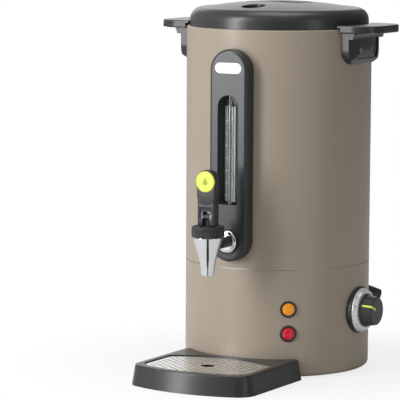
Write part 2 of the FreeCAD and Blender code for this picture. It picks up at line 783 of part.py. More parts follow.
def bracket_solid(inset, sink, top):
    """The bracket's slab under its gently curved face, which rolls in to the jacket at the foot and
    flares out to the grip at the head."""
    face = BRACKET_FACE_X - sink
    foot = BODY_TOP_Z - BRACKET_DROP
    half_chord = BRACKET_HALF_WIDTH
    curve = disc(BRACKET_CURVE - sink, foot - 1, top + 1, BRACKET_FACE_X - BRACKET_CURVE, 0)
    head = HANDLE_LOW_Z
    flare = HANDLE_NECK_ROUND
    slant = 1.0 - math.sqrt(0.5)
    neck = profile_slab([
        (BODY_RADIUS / 2, head - flare),
        (face, head - flare),
        (face + flare * slant, head - flare * slant, (face + flare, head)),
        (face + flare, head + BITE),
        (BODY_RADIUS / 2, head + BITE),
    ], half_chord)
    stem = profile_slab([
        (BODY_RADIUS / 2, foot),
        (BODY_RADIUS, foot),
        (face - (face - BODY_RADIUS) * slant, foot + BRACKET_ROLL * 0.5, (face, foot + BRACKET_ROLL)),
        (face, head + BITE),
        (BODY_RADIUS / 2, head + BITE),
    ], half_chord)
    slab = bracket_slab(inset, top)
    flared = neck.common(disc(BRACKET_CURVE - sink + flare, foot, top + 1, BRACKET_FACE_X - BRACKET_CURVE, 0))
    return stem.common(curve).fuse(flared).common(slab)


def profile_slab(outline, half):
    """A slab between y = -half and half with the given outline in x and z."""
    return outline_face(outline).extrude(Vector(0, 2 * half, 0)).translated(Vector(0, -half, 0))


def upright_in_x(slab):
    """Stand a slab built with z as x up so that its thickness runs along +X."""
    slab.rotate(Vector(0, 0, 0), ALONG_Y, -90)
    return mirrored(slab)


def screw_seat():
    """Distance from the urn's axis at which the heads of the handle screws sit."""
    return BRACKET_FACE_X - BRACKET_RECESS - HANDLE_SCREW_SINK


def make_handle_screws():
    screws = []
    height = HANDLE_SCREW_Z
    seat = screw_seat()
    top = seat + SCREW_HEAD_THICK
    for azimuth in handle_screw_places():
        head = rod(HANDLE_SCREW_HEAD_RADIUS, Vector(seat, 0, height), Vector(top, 0, height))
        for across, along in ((DRIVE_WIDTH, DRIVE_LENGTH), (DRIVE_LENGTH, DRIVE_WIDTH)):
            head = head.cut(block(top - DRIVE_DEPTH, top + 1, -across / 2, across / 2,
                                  height - along / 2, height + along / 2))
        start = Vector(JACKET_INNER - 2 * NUT_THICK, 0, height)
        shank = rod(SCREW_RADIUS, start, Vector(seat + BITE, 0, height))
        screws.append(turned_to(azimuth, head.fuse(shank)))
    return Part.makeCompound(screws)


def inside_flat(across):
    """Distance from the axis of the flat back of a nut that bears on the inside of the shell."""
    return math.sqrt(JACKET_INNER ** 2 - across ** 2 / 3.0) - PLAY


def make_handle_nuts():
    nuts = []
    seat = inside_flat(NUT_ACROSS)
    for azimuth in handle_screw_places():
        nut = laid_along_x(hexagon(NUT_ACROSS, seat - NUT_THICK, seat), 0, HANDLE_SCREW_Z)
        start = Vector(seat - PAST, 0, HANDLE_SCREW_Z)
        hole = rod(SCREW_RADIUS + PLAY, start, Vector(seat + 1, 0, HANDLE_SCREW_Z))
        nuts.append(turned_to(azimuth, nut.cut(hole)))
    return Part.makeCompound(nuts)


def make_gauge_panel():
    width = PANEL_HALF_WIDTH
    panel = upright_slab(width, PANEL_LOW_Z, PANEL_TOP_Z, PANEL_FACE_Y, -BODY_RADIUS + PANEL_BACK_LAP, width - 0.01)
    front = [edge for edge in panel.Edges if edge.BoundBox.YMax < PANEL_FACE_Y + 0.01]
    panel = panel.makeFillet(PANEL_EDGE_ROUND, front)
    panel = panel.cut(disc(BODY_RADIUS + PLAY, PANEL_LOW_Z - 1, PANEL_TOP_Z + 1))
    panel = panel.cut(slot_solid())
    panel = panel.cut(block_room(SLIP))
    panel = panel.cut(disc(TUBE_RADIUS + PLAY, SHANK_Z, SLOT_TOP_Z + TUBE_SOCKET, 0, TUBE_Y))
    panel = panel.cut(shank_hole(SLIP))
    half = LABEL_HEIGHT / 2 + PLAY
    label = upright_slab(LABEL_LENGTH / 2 + PLAY, LABEL_Z - half, LABEL_Z + half,
                         PANEL_FACE_Y - 1, PANEL_FACE_Y + LABEL_THICK, LABEL_HEIGHT / 2)
    panel = panel.cut(label)
    for height in PANEL_SCREW_Z:
        start = Vector(0, -JACKET_INNER, height)
        panel = panel.cut(rod(SCREW_RADIUS + PLAY, start, Vector(0, panel_screw_tip(), height)))
    return panel.removeSplitter()


def slot_solid():
    """Room of the sunk slot: its sides slope in to the floor, and its top is a half circle."""
    wires = []
    for y, inset in ((PANEL_FACE_Y - 1, 0.0), (SLOT_FLOOR_Y, SLOT_HALF_WIDTH - SLOT_FLOOR_HALF_WIDTH)):
        half = SLOT_HALF_WIDTH - inset
        arch = half - 0.01
        foot = SLOT_FOOT_ROUND
        wire = rounded_rectangle(-half, half, SLOT_LOW_Z, SLOT_TOP_Z - inset, 0, [foot, foot, arch, arch])
        wire.rotate(Vector(0, 0, 0), ALONG_X, 90)
        wire.translate(Vector(0, y, 0))
        wires.append(wire)
    return Part.makeLoft(wires, True, True)


def make_label_plate():
    return upright_slab(LABEL_LENGTH / 2, LABEL_Z - LABEL_HEIGHT / 2, LABEL_Z + LABEL_HEIGHT / 2,
                        PANEL_FACE_Y - LABEL_PROUD, PANEL_FACE_Y + LABEL_THICK, LABEL_HEIGHT / 2 - 0.01)


def panel_screw_tip():
    return PANEL_FACE_Y + PANEL_EDGE_ROUND + 1


def make_panel_screws():
    screws = []
    seat = -inside_flat(SCREW_HEAD_RADIUS * math.sqrt(3.0))
    for height in PANEL_SCREW_Z:
        head = rod(SCREW_HEAD_RADIUS, Vector(0, seat + SCREW_HEAD_THICK, height), Vector(0, seat, height))
        shank = rod(SCREW_RADIUS, Vector(0, seat + BITE, height), Vector(0, panel_screw_tip() + 1, height))
        screws.append(head.fuse(shank))
    return Part.makeCompound(screws)


def block_room(clearance):
    """Space for the gauge block behind the panel face."""
    half = max(SHANK_RADIUS, TUBE_RADIUS + SEAL_WALL) + BLOCK_SIDE + clearance
    low = SHANK_Z - SHANK_RADIUS - BLOCK_SIDE - clearance
    high = SLOT_LOW_Z - BLOCK_SIDE + clearance
    return block(-half, half, BLOCK_FACE_Y - clearance, -BODY_RADIUS + BLOCK_BACK, low, high)


def make_gauge_block():
    """Joins the foot of the sight tube to the shank."""
    solid = block_room(0.0).cut(disc(BODY_RADIUS + PLAY, PANEL_LOW_Z, SLOT_LOW_Z))
    solid = solid.cut(disc(TUBE_RADIUS + SEAL_WALL + PLAY, SEAL_LOW_Z, SLOT_LOW_Z, 0, TUBE_Y))
    solid = solid.cut(disc(TUBE_RADIUS + PLAY, SEAL_LOW_Z - TUBE_SOCKET, SLOT_LOW_Z, 0, TUBE_Y))
    solid = solid.cut(disc(TUBE_RADIUS - TUBE_WALL, SHANK_Z, SLOT_LOW_Z, 0, TUBE_Y))
    return solid.cut(shank_hole(PLAY)).removeSplitter()


def make_sight_tube():
    high = SLOT_TOP_Z + TUBE_SOCKET - TUBE_CAP_THICK
    return ring(TUBE_RADIUS, TUBE_RADIUS - TUBE_WALL, SEAL_LOW_Z - TUBE_SOCKET, high, 0, TUBE_Y)


def make_tube_seal():
    high = SEAL_LOW_Z + SEAL_HEIGHT
    return ring(TUBE_RADIUS + SEAL_WALL, TUBE_RADIUS + PLAY / 2, SEAL_LOW_Z, high, 0, TUBE_Y)


def make_tube_cap():
    top = SLOT_TOP_Z + TUBE_SOCKET
    return ring(TUBE_RADIUS, TUBE_CAP_HOLE, top - TUBE_CAP_THICK, top, 0, TUBE_Y)


def make_level_scale():
    """Strip behind the tube that stands out on its left, with raised dots."""
    low = SLOT_LOW_Z + SCALE_END_GAP
    high = SLOT_TOP_Z - SLOT_HALF_WIDTH
    front = SLOT_FLOOR_Y - SCALE_THICK
    strip = block(-TUBE_RADIUS - SCALE_LEFT, TUBE_RADIUS, front, SLOT_FLOOR_Y, low, high)
    dots = []
    for number in range(int((high - low) / SCALE_STEP)):
        height = low + SCALE_STEP * (number + 0.5)
        x = -TUBE_RADIUS - SCALE_DOT_LEFT
        dots.append(rod(SCALE_DOT_RADIUS, Vector(x, front + SCALE_THICK / 2, height),
                        Vector(x, front - SCALE_DOT_PROUD, height)))
    return strip.fuse(dots).removeSplitter()


def make_tap_shank():
    """Insulated pipe from the tank to the valve chamber of the spout."""
    start = Vector(0, -TANK_INNER + SHANK_STUB, SHANK_Z)
    end = Vector(0, TAP_Y + CHAMBER_RADIUS, SHANK_Z)
    pipe = rod(SHANK_RADIUS, start, end)
    pipe = pipe.cut(rod(SHANK_BORE, start.add(Vector(0, 1, 0)), end.sub(Vector(0, 1, 0))))
    pipe = pipe.cut(disc(CHAMBER_RADIUS, CHAMBER_LOW_Z, SPOUT_TOP_Z, 0, TAP_Y))
    feed = min(TUBE_RADIUS - TUBE_WALL, SHANK_BORE) / 2
    return pipe.cut(disc(feed, SHANK_Z, SHANK_Z + SHANK_RADIUS + 1, 0, TUBE_Y))


def make_shank_nut():
    nut = laid_to_front(hexagon(SHANK_NUT_ACROSS, 0, SHANK_NUT_THICK), 0, SHANK_Z)
    nut.translate(Vector(0, -TANK_INNER + WASHER_INNER_THICK + SHANK_NUT_THICK, 0))
    return nut.cut(shank_hole(PLAY))


def make_tank_seals():
    """Rubber washers on both faces of the tank wall, shaped to it."""
    low = TANK_FLOOR_Z
    high = SLOT_LOW_Z
    middle = Vector(0, -TANK_INNER - SHEET, SHANK_Z)
    back = Vector(0, -TANK_INNER + WASHER_INNER_THICK, SHANK_Z)
    inside = rod(WASHER_RADIUS, back, middle).common(disc(TANK_INNER - PLAY, low, high))
    front = Vector(0, -TANK_OUTER - WASHER_OUTER_THICK, SHANK_Z)
    start = Vector(0, -TANK_INNER + 2 * SHEET, SHANK_Z)
    outside = rod(WASHER_RADIUS, start, front).cut(disc(TANK_OUTER + PLAY, low, high))
    return Part.makeCompound([inside.cut(shank_hole(PLAY)), outside.cut(shank_hole(PLAY))])


def make_tap_flange():
    dome = FLANGE_THICK * 0.8
    shape = lathe([
        (SHANK_RADIUS + PLAY, 0),
        (FLANGE_RADIUS, 0),
        (FLANGE_RADIUS, FLANGE_THICK / 3),
        (FLANGE_RADIUS - FLANGE_DOME * 0.4, dome, (FLANGE_RADIUS - FLANGE_DOME, FLANGE_THICK)),
        (SHANK_RADIUS + PLAY, FLANGE_THICK),
    ])
    shape = laid_to_front(shape, 0, SHANK_Z)
    shape.translate(Vector(0, PANEL_FACE_Y - GASKET_THICK, 0))
    return shape


def make_flange_gasket():
    shape = laid_to_front(ring(GASKET_RADIUS, SHANK_RADIUS + PLAY, 0, GASKET_THICK), 0, SHANK_Z)
    shape.translate(Vector(0, PANEL_FACE_Y, 0))
    return shape


def make_tap_spout():
    """Chrome cone on a short neck; it holds the valve chamber and its seat."""
    low = SPOUT_LOW_Z
    high = SPOUT_TOP_Z
    neck = low + SPOUT_NECK_HEIGHT
    bend = low + SPOUT_BEND_HEIGHT
    middle = (SPOUT_NECK_RADIUS + SPOUT_BEND_RADIUS) / 2 - SPOUT_BEND_SAG
    spout = lathe([
        (OUTLET_RADIUS, low + SPOUT_FLARE),
        (SPOUT_LOW_RADIUS - SPOUT_WALL, low),
        (SPOUT_LOW_RADIUS, low),
        (SPOUT_NECK_RADIUS, neck),
        (middle, (neck + bend) / 2, (SPOUT_BEND_RADIUS, bend)),
        (SPOUT_TOP_RADIUS, high),
        (CHAMBER_RADIUS, high),
        (CHAMBER_RADIUS, CHAMBER_LOW_Z + CHAMBER_CONE),
        (OUTLET_RADIUS, CHAMBER_LOW_Z),
    ])
    spout.translate(Vector(0, TAP_Y, 0))
    return spout.cut(shank_hole_front())


def shank_hole_front():
    return rod(SHANK_RADIUS + PLAY, Vector(0, TAP_Y, SHANK_Z), Vector(0, PANEL_FACE_Y, SHANK_Z))


def make_tap_collar():
    """Ribbed collar that screws down on the spout and guides the stem."""
    low = SPOUT_TOP_Z
    high = COLLAR_TOP_Z
    edge = COLLAR_PLUG
    collar = lathe([
        (STEM_RADIUS + PLAY, low - COLLAR_PLUG),
        (CHAMBER_RADIUS - SLIP, low - COLLAR_PLUG),
        (CHAMBER_RADIUS - SLIP, low),
        (COLLAR_RADIUS, low),
        (COLLAR_RADIUS, high - edge),
        (COLLAR_RADIUS - edge * 0.3, high - edge * 0.3, (COLLAR_RADIUS - edge, high)),
        (STEM_RADIUS + PLAY, high),
    ])
    grooves = []
    reach = COLLAR_RADIUS + RIB_GROOVE * 0.3
    for number in range(COLLAR_RIBS):
        angle = 2 * math.pi * number / COLLAR_RIBS
        grooves.append(disc(RIB_GROOVE, low - 1, high + 1, reach * math.cos(angle), reach * math.sin(angle)))
    collar = collar.cut(grooves)
    collar.translate(Vector(0, TAP_Y, 0))
    return collar


def make_tap_stem():
    stem = disc(STEM_RADIUS, cup_bore_z(), PIN_Z + STEM_EYE_RADIUS, 0, TAP_Y)
    reach = FORK_GAP_HALF - SLIP
    eye = rod(STEM_EYE_RADIUS, Vector(-reach, TAP_Y, PIN_Z), Vector(reach, TAP_Y, PIN_Z))
    stem = stem.fuse(eye)
    return stem.cut(rod(PIN_RADIUS + PLAY, Vector(-reach - 1, TAP_Y, PIN_Z), Vector(reach + 1, TAP_Y, PIN_Z)))


def cup_bore_z():
    """Height at which the stem ends inside the seat cup."""
    return CHAMBER_LOW_Z + CUP_HEIGHT - 2.0


def make_seat_cup():
    """Soft cup that closes the outlet."""
    low = CHAMBER_LOW_Z + CUP_GAP
    top = CHAMBER_LOW_Z + CUP_HEIGHT
    side = CHAMBER_RADIUS - CUP_SIDE_GAP
    cup = lathe([
        (0, low),
        (OUTLET_RADIUS, low),
        (side, low + CUP_CONE),
        (side, top),
        (0, top),
    ])
    cup.translate(Vector(0, TAP_Y, 0))
    return cup.cut(disc(STEM_RADIUS + PLAY, cup_bore_z(), top + 1, 0, TAP_Y))


def make_tap_spring():
    """Wire spring between the seat cup and the collar."""
    low = CHAMBER_LOW_Z + CUP_HEIGHT + SPRING_WIRE + PLAY
    high = SPOUT_TOP_Z - COLLAR_PLUG - SPRING_WIRE - PLAY
    pitch = (high - low) / SPRING_TURNS
    path = Part.makeHelix(pitch, high - low, SPRING_RADIUS)
    section = Part.Wire([Part.Circle(Vector(SPRING_RADIUS, 0, 0), ALONG_Y, SPRING_WIRE).toShape()])
    spring = Part.Wire(path.Edges).makePipeShell([section], True, False)
    spring.translate(Vector(0, TAP_Y, low))
    return spring


def make_tap_lever():
    """Lever plate that widens above a fork; the fork straddles the stem on the pin."""
    depth = FOOT_HALF_DEPTH
    foot = LEVER_LOW_Z
    step = foot + LEVER_STEP_RISE
    top = foot + LEVER_TOP_RISE
    width = LEVER_HALF_WIDTH
    gap = FORK_GAP_HALF
    fork = block(-width, width, TAP_Y - depth, TAP_Y + depth, foot, step)
    fork = fork.makeFillet(FORK_ROUND, [edge for edge in fork.Edges if edge.BoundBox.XLength > width])
    fork = fork.cut(block(-gap, gap, TAP_Y - depth - 1, TAP_Y + depth + 1, foot - 1, PIN_Z + FORK_ROOF))
    low = step - LEVER_STEP_LIP
    plate = upright_slab(width + LEVER_PROUD, low, top, LEVER_FACE_Y, TAP_Y + depth - 1.0, width)
    plate = plate.makeFillet(LEVER_ROUND, [edge for edge in plate.Edges if edge.BoundBox.YLength < 0.01])
    neck = depth - FORK_ROUND
    plate = plate.fuse(block(-width, width, TAP_Y - neck, TAP_Y + neck, low, step + FORK_ROUND * 4))
    lever = fork.fuse(plate)
    face = TAP_Y - depth + LEVER_STEP_SETBACK - LEVER_PROUD
    lever = lever.cut(block(-2 * width, 2 * width, LEVER_FACE_Y - 1, face, foot, step - 0.5))
    lever = lever.cut(rod(PIN_RADIUS, Vector(-2 * width, TAP_Y, PIN_Z), Vector(2 * width, TAP_Y, PIN_Z)))
    lever = lever.cut(badge_rod(BADGE_RADIUS - BADGE_STEP + PLAY, BADGE_SINK, BADGE_THICK))
    return lever.removeSplitter()


def badge_rod(radius, back, front):
    height = LEVER_LOW_Z + LEVER_TOP_RISE - LEVER_HALF_WIDTH - LEVER_ROUND
    return rod(radius, Vector(0, LEVER_FACE_Y + back, height), Vector(0, LEVER_FACE_Y - front, height))


def make_lever_badge():
    badge = badge_rod(BADGE_RADIUS - BADGE_STEP, BADGE_SINK, 0.0)
    return badge.fuse(badge_rod(BADGE_RADIUS, 0.0, BADGE_THICK))


def make_lever_pin():
    reach = LEVER_HALF_WIDTH + PIN_PROUD
    return rod(PIN_RADIUS, Vector(-reach, TAP_Y, PIN_Z), Vector(reach, TAP_Y, PIN_Z))


def on_lamp_axis(outline, height, start):
    shape = laid_along_x(lathe(outline), 0, height)
    shape.translate(Vector(start, 0, 0))
    return turned_to(LAMP_AZIMUTH, shape)


def make_lamp_bezels():
    bezels = []
    back = LAMP_SEAT / 2
    rim = LAMP_PROUD / 3
    for height in LAMP_Z:
        bezel = laid_along_x(lathe([
            (LAMP_RADIUS + PLAY, -back),
            (LAMP_BEZEL_RADIUS, -back),
            (LAMP_BEZEL_RADIUS, rim),
            (LAMP_BEZEL_RADIUS - rim, LAMP_PROUD - 0.2, (LAMP_BEZEL_RADIUS - 2.5 * rim, LAMP_PROUD)),
            (LAMP_RADIUS + PLAY, 2 * rim),
        ]), 0, height)
        bezel.translate(Vector(BODY_RADIUS, 0, 0))
        bezel = bezel.cut(disc(BODY_RADIUS + PLAY, 0, SEAM_Z))
        bezels.append(turned_to(LAMP_AZIMUTH, bezel))
    return Part.makeCompound(bezels)


def make_lamp_lens(height):
    edge = LAMP_PROUD / 2
    dome = LAMP_PROUD + 1.0
    return on_lamp_axis([
        (0, -LAMP_SEAT),
        (LAMP_RADIUS, -LAMP_SEAT),
        (LAMP_RADIUS, edge),
        (LAMP_RADIUS * 0.6, dome - 0.5, (LAMP_RADIUS * 0.1, dome)),
        (0, dome),
    ], height, BODY_RADIUS)


def make_lamp_bodies():
    bodies = []
    back = BODY_RADIUS - LAMP_BODY_LENGTH
    for height in LAMP_Z:
        body = rod(LAMP_RADIUS, Vector(back, 0, height), Vector(BODY_RADIUS - LAMP_SEAT, 0, height))
        for side in (-3.0, 3.0):
            pin = block(back - LAMP_PIN_LENGTH, back + 1, side - 0.4, side + 0.4, height - 2, height + 2)
            body = body.fuse(pin)
        bodies.append(turned_to(LAMP_AZIMUTH, body))
    return Part.makeCompound(bodies)


def make_dial_bezel():
    back = BODY_RADIUS - math.sqrt(BODY_RADIUS ** 2 - BEZEL_RADIUS ** 2) + BEZEL_PROUD + PAST
    round_edge = BEZEL_RIM
    bezel = laid_along_x(lathe([
        (BUSHING_RADIUS + PLAY, -back),
        (BEZEL_RADIUS, -back),
        (BEZEL_RADIUS, -round_edge),
        (BEZEL_RADIUS - round_edge * 0.3, -round_edge * 0.3, (BEZEL_RADIUS - round_edge, 0)),
        (BUSHING_RADIUS + PLAY, 0),
    ]), 0, KNOB_Z)
    bezel.translate(Vector(DIAL_BACK_X, 0, 0))
    return bezel.cut(disc(BODY_RADIUS + PLAY, 0, SEAM_Z))


def make_dial_ring():
    dial = laid_along_x(lathe([
        (SHAFT_RADIUS + PLAY, 0),
        (DIAL_RADIUS, 0),
        (DIAL_RADIUS, DIAL_EDGE),
        (DIAL_RADIUS - DIAL_SLOPE, DIAL_THICK),
        (SHAFT_RADIUS + PLAY, DIAL_THICK),
    ]), 0, KNOB_Z)
    dial.translate(Vector(DIAL_BACK_X, 0, 0))
    return dial


def make_thermostat_knob():
    start = KNOB_RIM_THICK
    end = KNOB_LENGTH
    rim = KNOB_RADIUS + KNOB_RIM
    knob = lathe([
        (0, 0),
        (rim, 0),
        (rim, start - 0.8),
        (rim - 0.8, start),
        (KNOB_RADIUS, start),
        (KNOB_END_RADIUS + 0.3, end - 1.6),
        (KNOB_END_RADIUS - 0.3, end - 0.4, (KNOB_END_RADIUS - 1.6, end)),
        (0, end),
    ])
    knob = knob.cut(disc(SHAFT_RADIUS, -1, end - KNOB_END_WALL))
    knob = laid_along_x(knob, 0, KNOB_Z)
    knob.translate(Vector(KNOB_BACK_X, 0, 0))
    return knob.cut(pointer_body())


def pointer_body():
    """L-shaped strip along the side of the knob that faces the front, and over its end."""
    start = KNOB_BACK_X + KNOB_RIM_THICK + POINTER_LEAD
    end = KNOB_BACK_X + KNOB_LENGTH
    half = POINTER_WIDTH / 2
    side = block(start, end + POINTER_PROUD, -KNOB_RADIUS - POINTER_PROUD, -KNOB_END_RADIUS + POINTER_WIDTH,
                 KNOB_Z - half, KNOB_Z + half)
    outer = laid_along_x(lathe([
        (0, KNOB_RIM_THICK),
        (KNOB_RADIUS + POINTER_PROUD, KNOB_RIM_THICK),
        (KNOB_END_RADIUS + POINTER_PROUD, KNOB_LENGTH + POINTER_PROUD),
        (0, KNOB_LENGTH + POINTER_PROUD),
    ]), 0, KNOB_Z)
    outer.translate(Vector(KNOB_BACK_X, 0, 0))
    face = block(end - 1.0, end + POINTER_PROUD, -KNOB_RADIUS, -KNOB_END_RADIUS / 3, KNOB_Z - half, KNOB_Z + half)
    pointer = side.fuse(face).common(outer).removeSplitter()
    pointer.rotate(Vector(0, 0, KNOB_Z), ALONG_X, -POINTER_TURN)
    return pointer


def make_thermostat_shaft():
    start = Vector(BODY_RADIUS - CASE_SET_BACK - 10.0, 0, KNOB_Z)
    return rod(SHAFT_RADIUS, start, Vector(KNOB_BACK_X + KNOB_LENGTH - KNOB_END_WALL, 0, KNOB_Z))


def make_thermostat_body():
    front = BODY_RADIUS - CASE_SET_BACK
    case = block(front - CASE_DEPTH, front, -CASE_HALF_WIDTH, CASE_HALF_WIDTH,
                 KNOB_Z - CASE_HALF_HEIGHT, KNOB_Z + CASE_HALF_HEIGHT)
    bushing = rod(BUSHING_RADIUS, Vector(front - 1, 0, KNOB_Z), Vector(DIAL_BACK_X - 0.01, 0, KNOB_Z))
    case = case.fuse(bushing)
    start = Vector(front - 12.0, 0, KNOB_Z)
    return case.cut(rod(SHAFT_RADIUS + PLAY, start, Vector(DIAL_BACK_X + 1, 0, KNOB_Z)))


def make_cord_gland():
    """Inlet gland: a flange on the shell, a nose that slopes down, and a bore for the lead."""
    reach = BODY_RADIUS + GLAND_FLANGE_THICK
    inside = inside_flat(GLAND_NUT_ACROSS) - GLAND_NUT_THICK - 4.0
    flange = rod(GLAND_RADIUS, Vector(BODY_RADIUS - PAST, 0, GLAND_Z), Vector(reach, 0, GLAND_Z))
    flange = flange.cut(disc(BODY_RADIUS + PLAY, 0, SEAM_Z))
    root = Vector(BODY_RADIUS + GLAND_FLANGE_THICK / 2, 0, GLAND_Z)
    slope = math.radians(GLAND_SLOPE)
    way = Vector(math.cos(slope), 0, -math.sin(slope))
    nose = Part.makeCone(GLAND_RADIUS - GLAND_NOSE_STEP, CORD_BORE + GLAND_NOSE_WALL, GLAND_NOSE, root, way)
    tail = rod(GLAND_THREAD_RADIUS, Vector(inside, 0, GLAND_Z), root)
    gland = flange.fuse([nose, tail])
    bore = Part.makeCylinder(CORD_BORE, 2 * GLAND_NOSE, root, way)
    back = rod(CORD_BORE, Vector(inside - 1, 0, GLAND_Z), root.add(Vector(1, 0, 0)))
    return turned_to(GLAND_AZIMUTH, gland.cut(bore).cut(back).removeSplitter())


def make_gland_nut():
    seat = inside_flat(GLAND_NUT_ACROSS)
    nut = laid_along_x(hexagon(GLAND_NUT_ACROSS, seat - GLAND_NUT_THICK, seat), 0, GLAND_Z)
    return turned_to(GLAND_AZIMUTH, nut.cut(wall_hole(GLAND_THREAD_RADIUS + PLAY, GLAND_Z)))


def make_base_plate():
    low = PLATE_LOW_Z
    plate = disc(BODY_RADIUS - BASE_EDGE_ROUND - BITE, low, low + PLATE_SHEET)
    half = AIR_SLOT_LENGTH / 2
    thin = AIR_SLOT_WIDTH / 2
    for row in range(-2, 3):
        y = row * AIR_SLOT_PITCH
        for x in (-AIR_SLOT_AT_X, AIR_SLOT_AT_X):
            slot = rounded_slab(x - half, x + half, y - thin, y + thin, low - 1, low + PAST, thin - 0.01)
            plate = plate.cut(slot)
    for place in foot_places():
        plate = plate.cut(disc(FOOT_STEM_RADIUS + PLAY, low - 1, low + PAST, place[0], place[1]))
    for place in base_screw_places():
        plate = plate.cut(disc(SCREW_RADIUS + SLIP, low - 1, low + PAST, place[0], place[1]))
    return plate


def foot_places():
    places = []
    for number in range(4):
        angle = math.radians(45 + 90 * number)
        places.append((FOOT_RING * math.cos(angle), FOOT_RING * math.sin(angle)))
    return places


def base_screw_places():
    places = []
    reach = BODY_RADIUS - BASE_EDGE_ROUND - BASE_FLANGE / 2
    for number in range(4):
        angle = math.radians(90 * number + 20)
        places.append((reach * math.cos(angle), reach * math.sin(angle)))
    return places


def make_base_screws():
    """Screws through the flange of the base shell and the plate."""
    screws = []
    seat = BASE_EDGE_Z
    for place in base_screw_places():
        head = disc(BASE_SCREW_HEAD_RADIUS, seat - BASE_SCREW_HEAD_THICK, seat, place[0], place[1])
        shank = disc(SCREW_RADIUS, seat - BITE, PLATE_TOP_Z + BASE_SCREW_LENGTH, place[0], place[1])
        screws.append(head.fuse(shank))
    return Part.makeCompound(screws)


def make_base_nuts():
    nuts = []
    low = PLATE_TOP_Z
    for place in base_screw_places():
        nut = hexagon(NUT_ACROSS, low, low + NUT_THICK).cut(disc(SCREW_RADIUS + PLAY, low - 1, low + PAST))
        nut.translate(Vector(place[0], place[1], 0))
        nuts.append(nut)
    return Part.makeCompound(nuts)


def make_feet():
    feet = []
    low = PLATE_LOW_Z
    for place in foot_places():
        foot = disc(FOOT_RADIUS, 0, low, place[0], place[1])
        foot = foot.makeFillet(FOOT_ROUND, [edge for edge in foot.Edges if edge.BoundBox.ZMax < 0.01])
        stem = disc(FOOT_STEM_RADIUS, low - 1, PLATE_TOP_Z, place[0], place[1])
        barb = disc(FOOT_BARB_RADIUS, PLATE_TOP_Z, PLATE_TOP_Z + FOOT_BARB_HEIGHT, place[0], place[1])
        feet.append(foot.fuse([stem, barb]))
    return Part.makeCompound(feet)


def make_heater_plate():
    return disc(HEATER_RADIUS, HEATER_LOW_Z, TANK_FLOOR_Z)


def make_heating_element():
    """Sheathed element bent to an open ring under the plate, with its ends turned down."""
    height = ELEMENT_Z
    gap = math.radians(ELEMENT_GAP / 2)
    first = Vector(ELEMENT_RING * math.cos(gap), ELEMENT_RING * math.sin(gap), height)
    last = Vector(ELEMENT_RING * math.cos(gap), -ELEMENT_RING * math.sin(gap), height)
    arc = Part.Arc(first, Vector(-ELEMENT_RING, 0, height), last).toShape()
    way = Vector(-math.sin(gap), math.cos(gap), 0)
    section = Part.Wire([Part.Circle(first, way, ELEMENT_RADIUS).toShape()])
    loop = Part.Wire([arc]).makePipeShell([section], True, False)
    pins = []
    for end in (first, last):
        sleeve = height - ELEMENT_DROP
        pins.append(disc(ELEMENT_RADIUS, sleeve, height, end.x, end.y))
        pins.append(Part.makeSphere(ELEMENT_RADIUS, end))
        pins.append(disc(ELEMENT_PIN_RADIUS, height - ELEMENT_PIN_DROP, sleeve + 1, end.x, end.y))
    return loop.fuse(pins).removeSplitter()


def make_thermal_cutout():
    top = HEATER_LOW_Z
    y = CUTOUT_AT_Y
    cutout = disc(CUTOUT_RADIUS, top - CUTOUT_HEIGHT, top, 0, y)
    for x in (-CUTOUT_TAG_X, CUTOUT_TAG_X):
        tag = block(x - 2, x + 2, y - 0.4, y + 0.4, top - CUTOUT_TAG_DROP, top - CUTOUT_HEIGHT + 1)
        cutout = cutout.fuse(tag)
    return cutout.removeSplitter()


def make_thermostat_bulb():
    return rod(BULB_RADIUS, Vector(BULB_X, BULB_FRONT_Y, BULB_Z), Vector(BULB_X, BULB_BACK_Y, BULB_Z))


def make_bulb_clip():
    top = HEATER_LOW_Z
    half = BULB_RADIUS + CLIP_SHEET
    bore = BULB_RADIUS + PLAY
    low = top - 2 * BULB_RADIUS
    clip = block(BULB_X - half, BULB_X + half, CLIP_FRONT_Y, CLIP_BACK_Y, low - CLIP_SHEET, top)
    clip = clip.cut(block(BULB_X - bore, BULB_X + bore, CLIP_FRONT_Y - 1, CLIP_BACK_Y + 1, low - PLAY, top + 1))
    for side in (-1, 1):
        near = BULB_X + side * half
        far = near + side * CLIP_TAB
        tab = block(min(near, far), max(near, far), CLIP_FRONT_Y, CLIP_BACK_Y, top - CLIP_SHEET, top)
        clip = clip.fuse(tab)
    return clip.removeSplitter()


def make_capillary():
    """Fine tube from the thermostat to the bulb."""
    start = KNOB_Z + CASE_HALF_HEIGHT
    high = start + CAPILLARY_RISE
    y = BULB_FRONT_Y - 2 * CAPILLARY_BEND
    points = [
        Vector(CASE_X, CAPILLARY_Y, start),
        Vector(CASE_X, CAPILLARY_Y, high),
        Vector(BULB_X, y, high),
        Vector(BULB_X, y, BULB_Z),
        Vector(BULB_X, BULB_FRONT_Y, BULB_Z),
    ]
    return routed_tube(points, CAPILLARY_RADIUS, CAPILLARY_BEND)


def terminal_place():
    angle = math.radians(GLAND_AZIMUTH - 90)
    reach = BODY_RADIUS - TERMINAL_INSET
    return reach * math.cos(angle), reach * math.sin(angle)


def make_terminal_block():
    low = PLATE_TOP_Z
    x, y = terminal_place()
    length = TERMINAL_LENGTH / 2
    width = TERMINAL_WIDTH / 2
    body = block(x - length, x + length, y - width, y + width, low, low + TERMINAL_HEIGHT)
    for side in (-1, 0, 1):
        hole = disc(TERMINAL_BORE, low + PAST, low + TERMINAL_HEIGHT + 1, x + side * LEAD_PITCH, y)
        body = body.cut(hole)
    return body


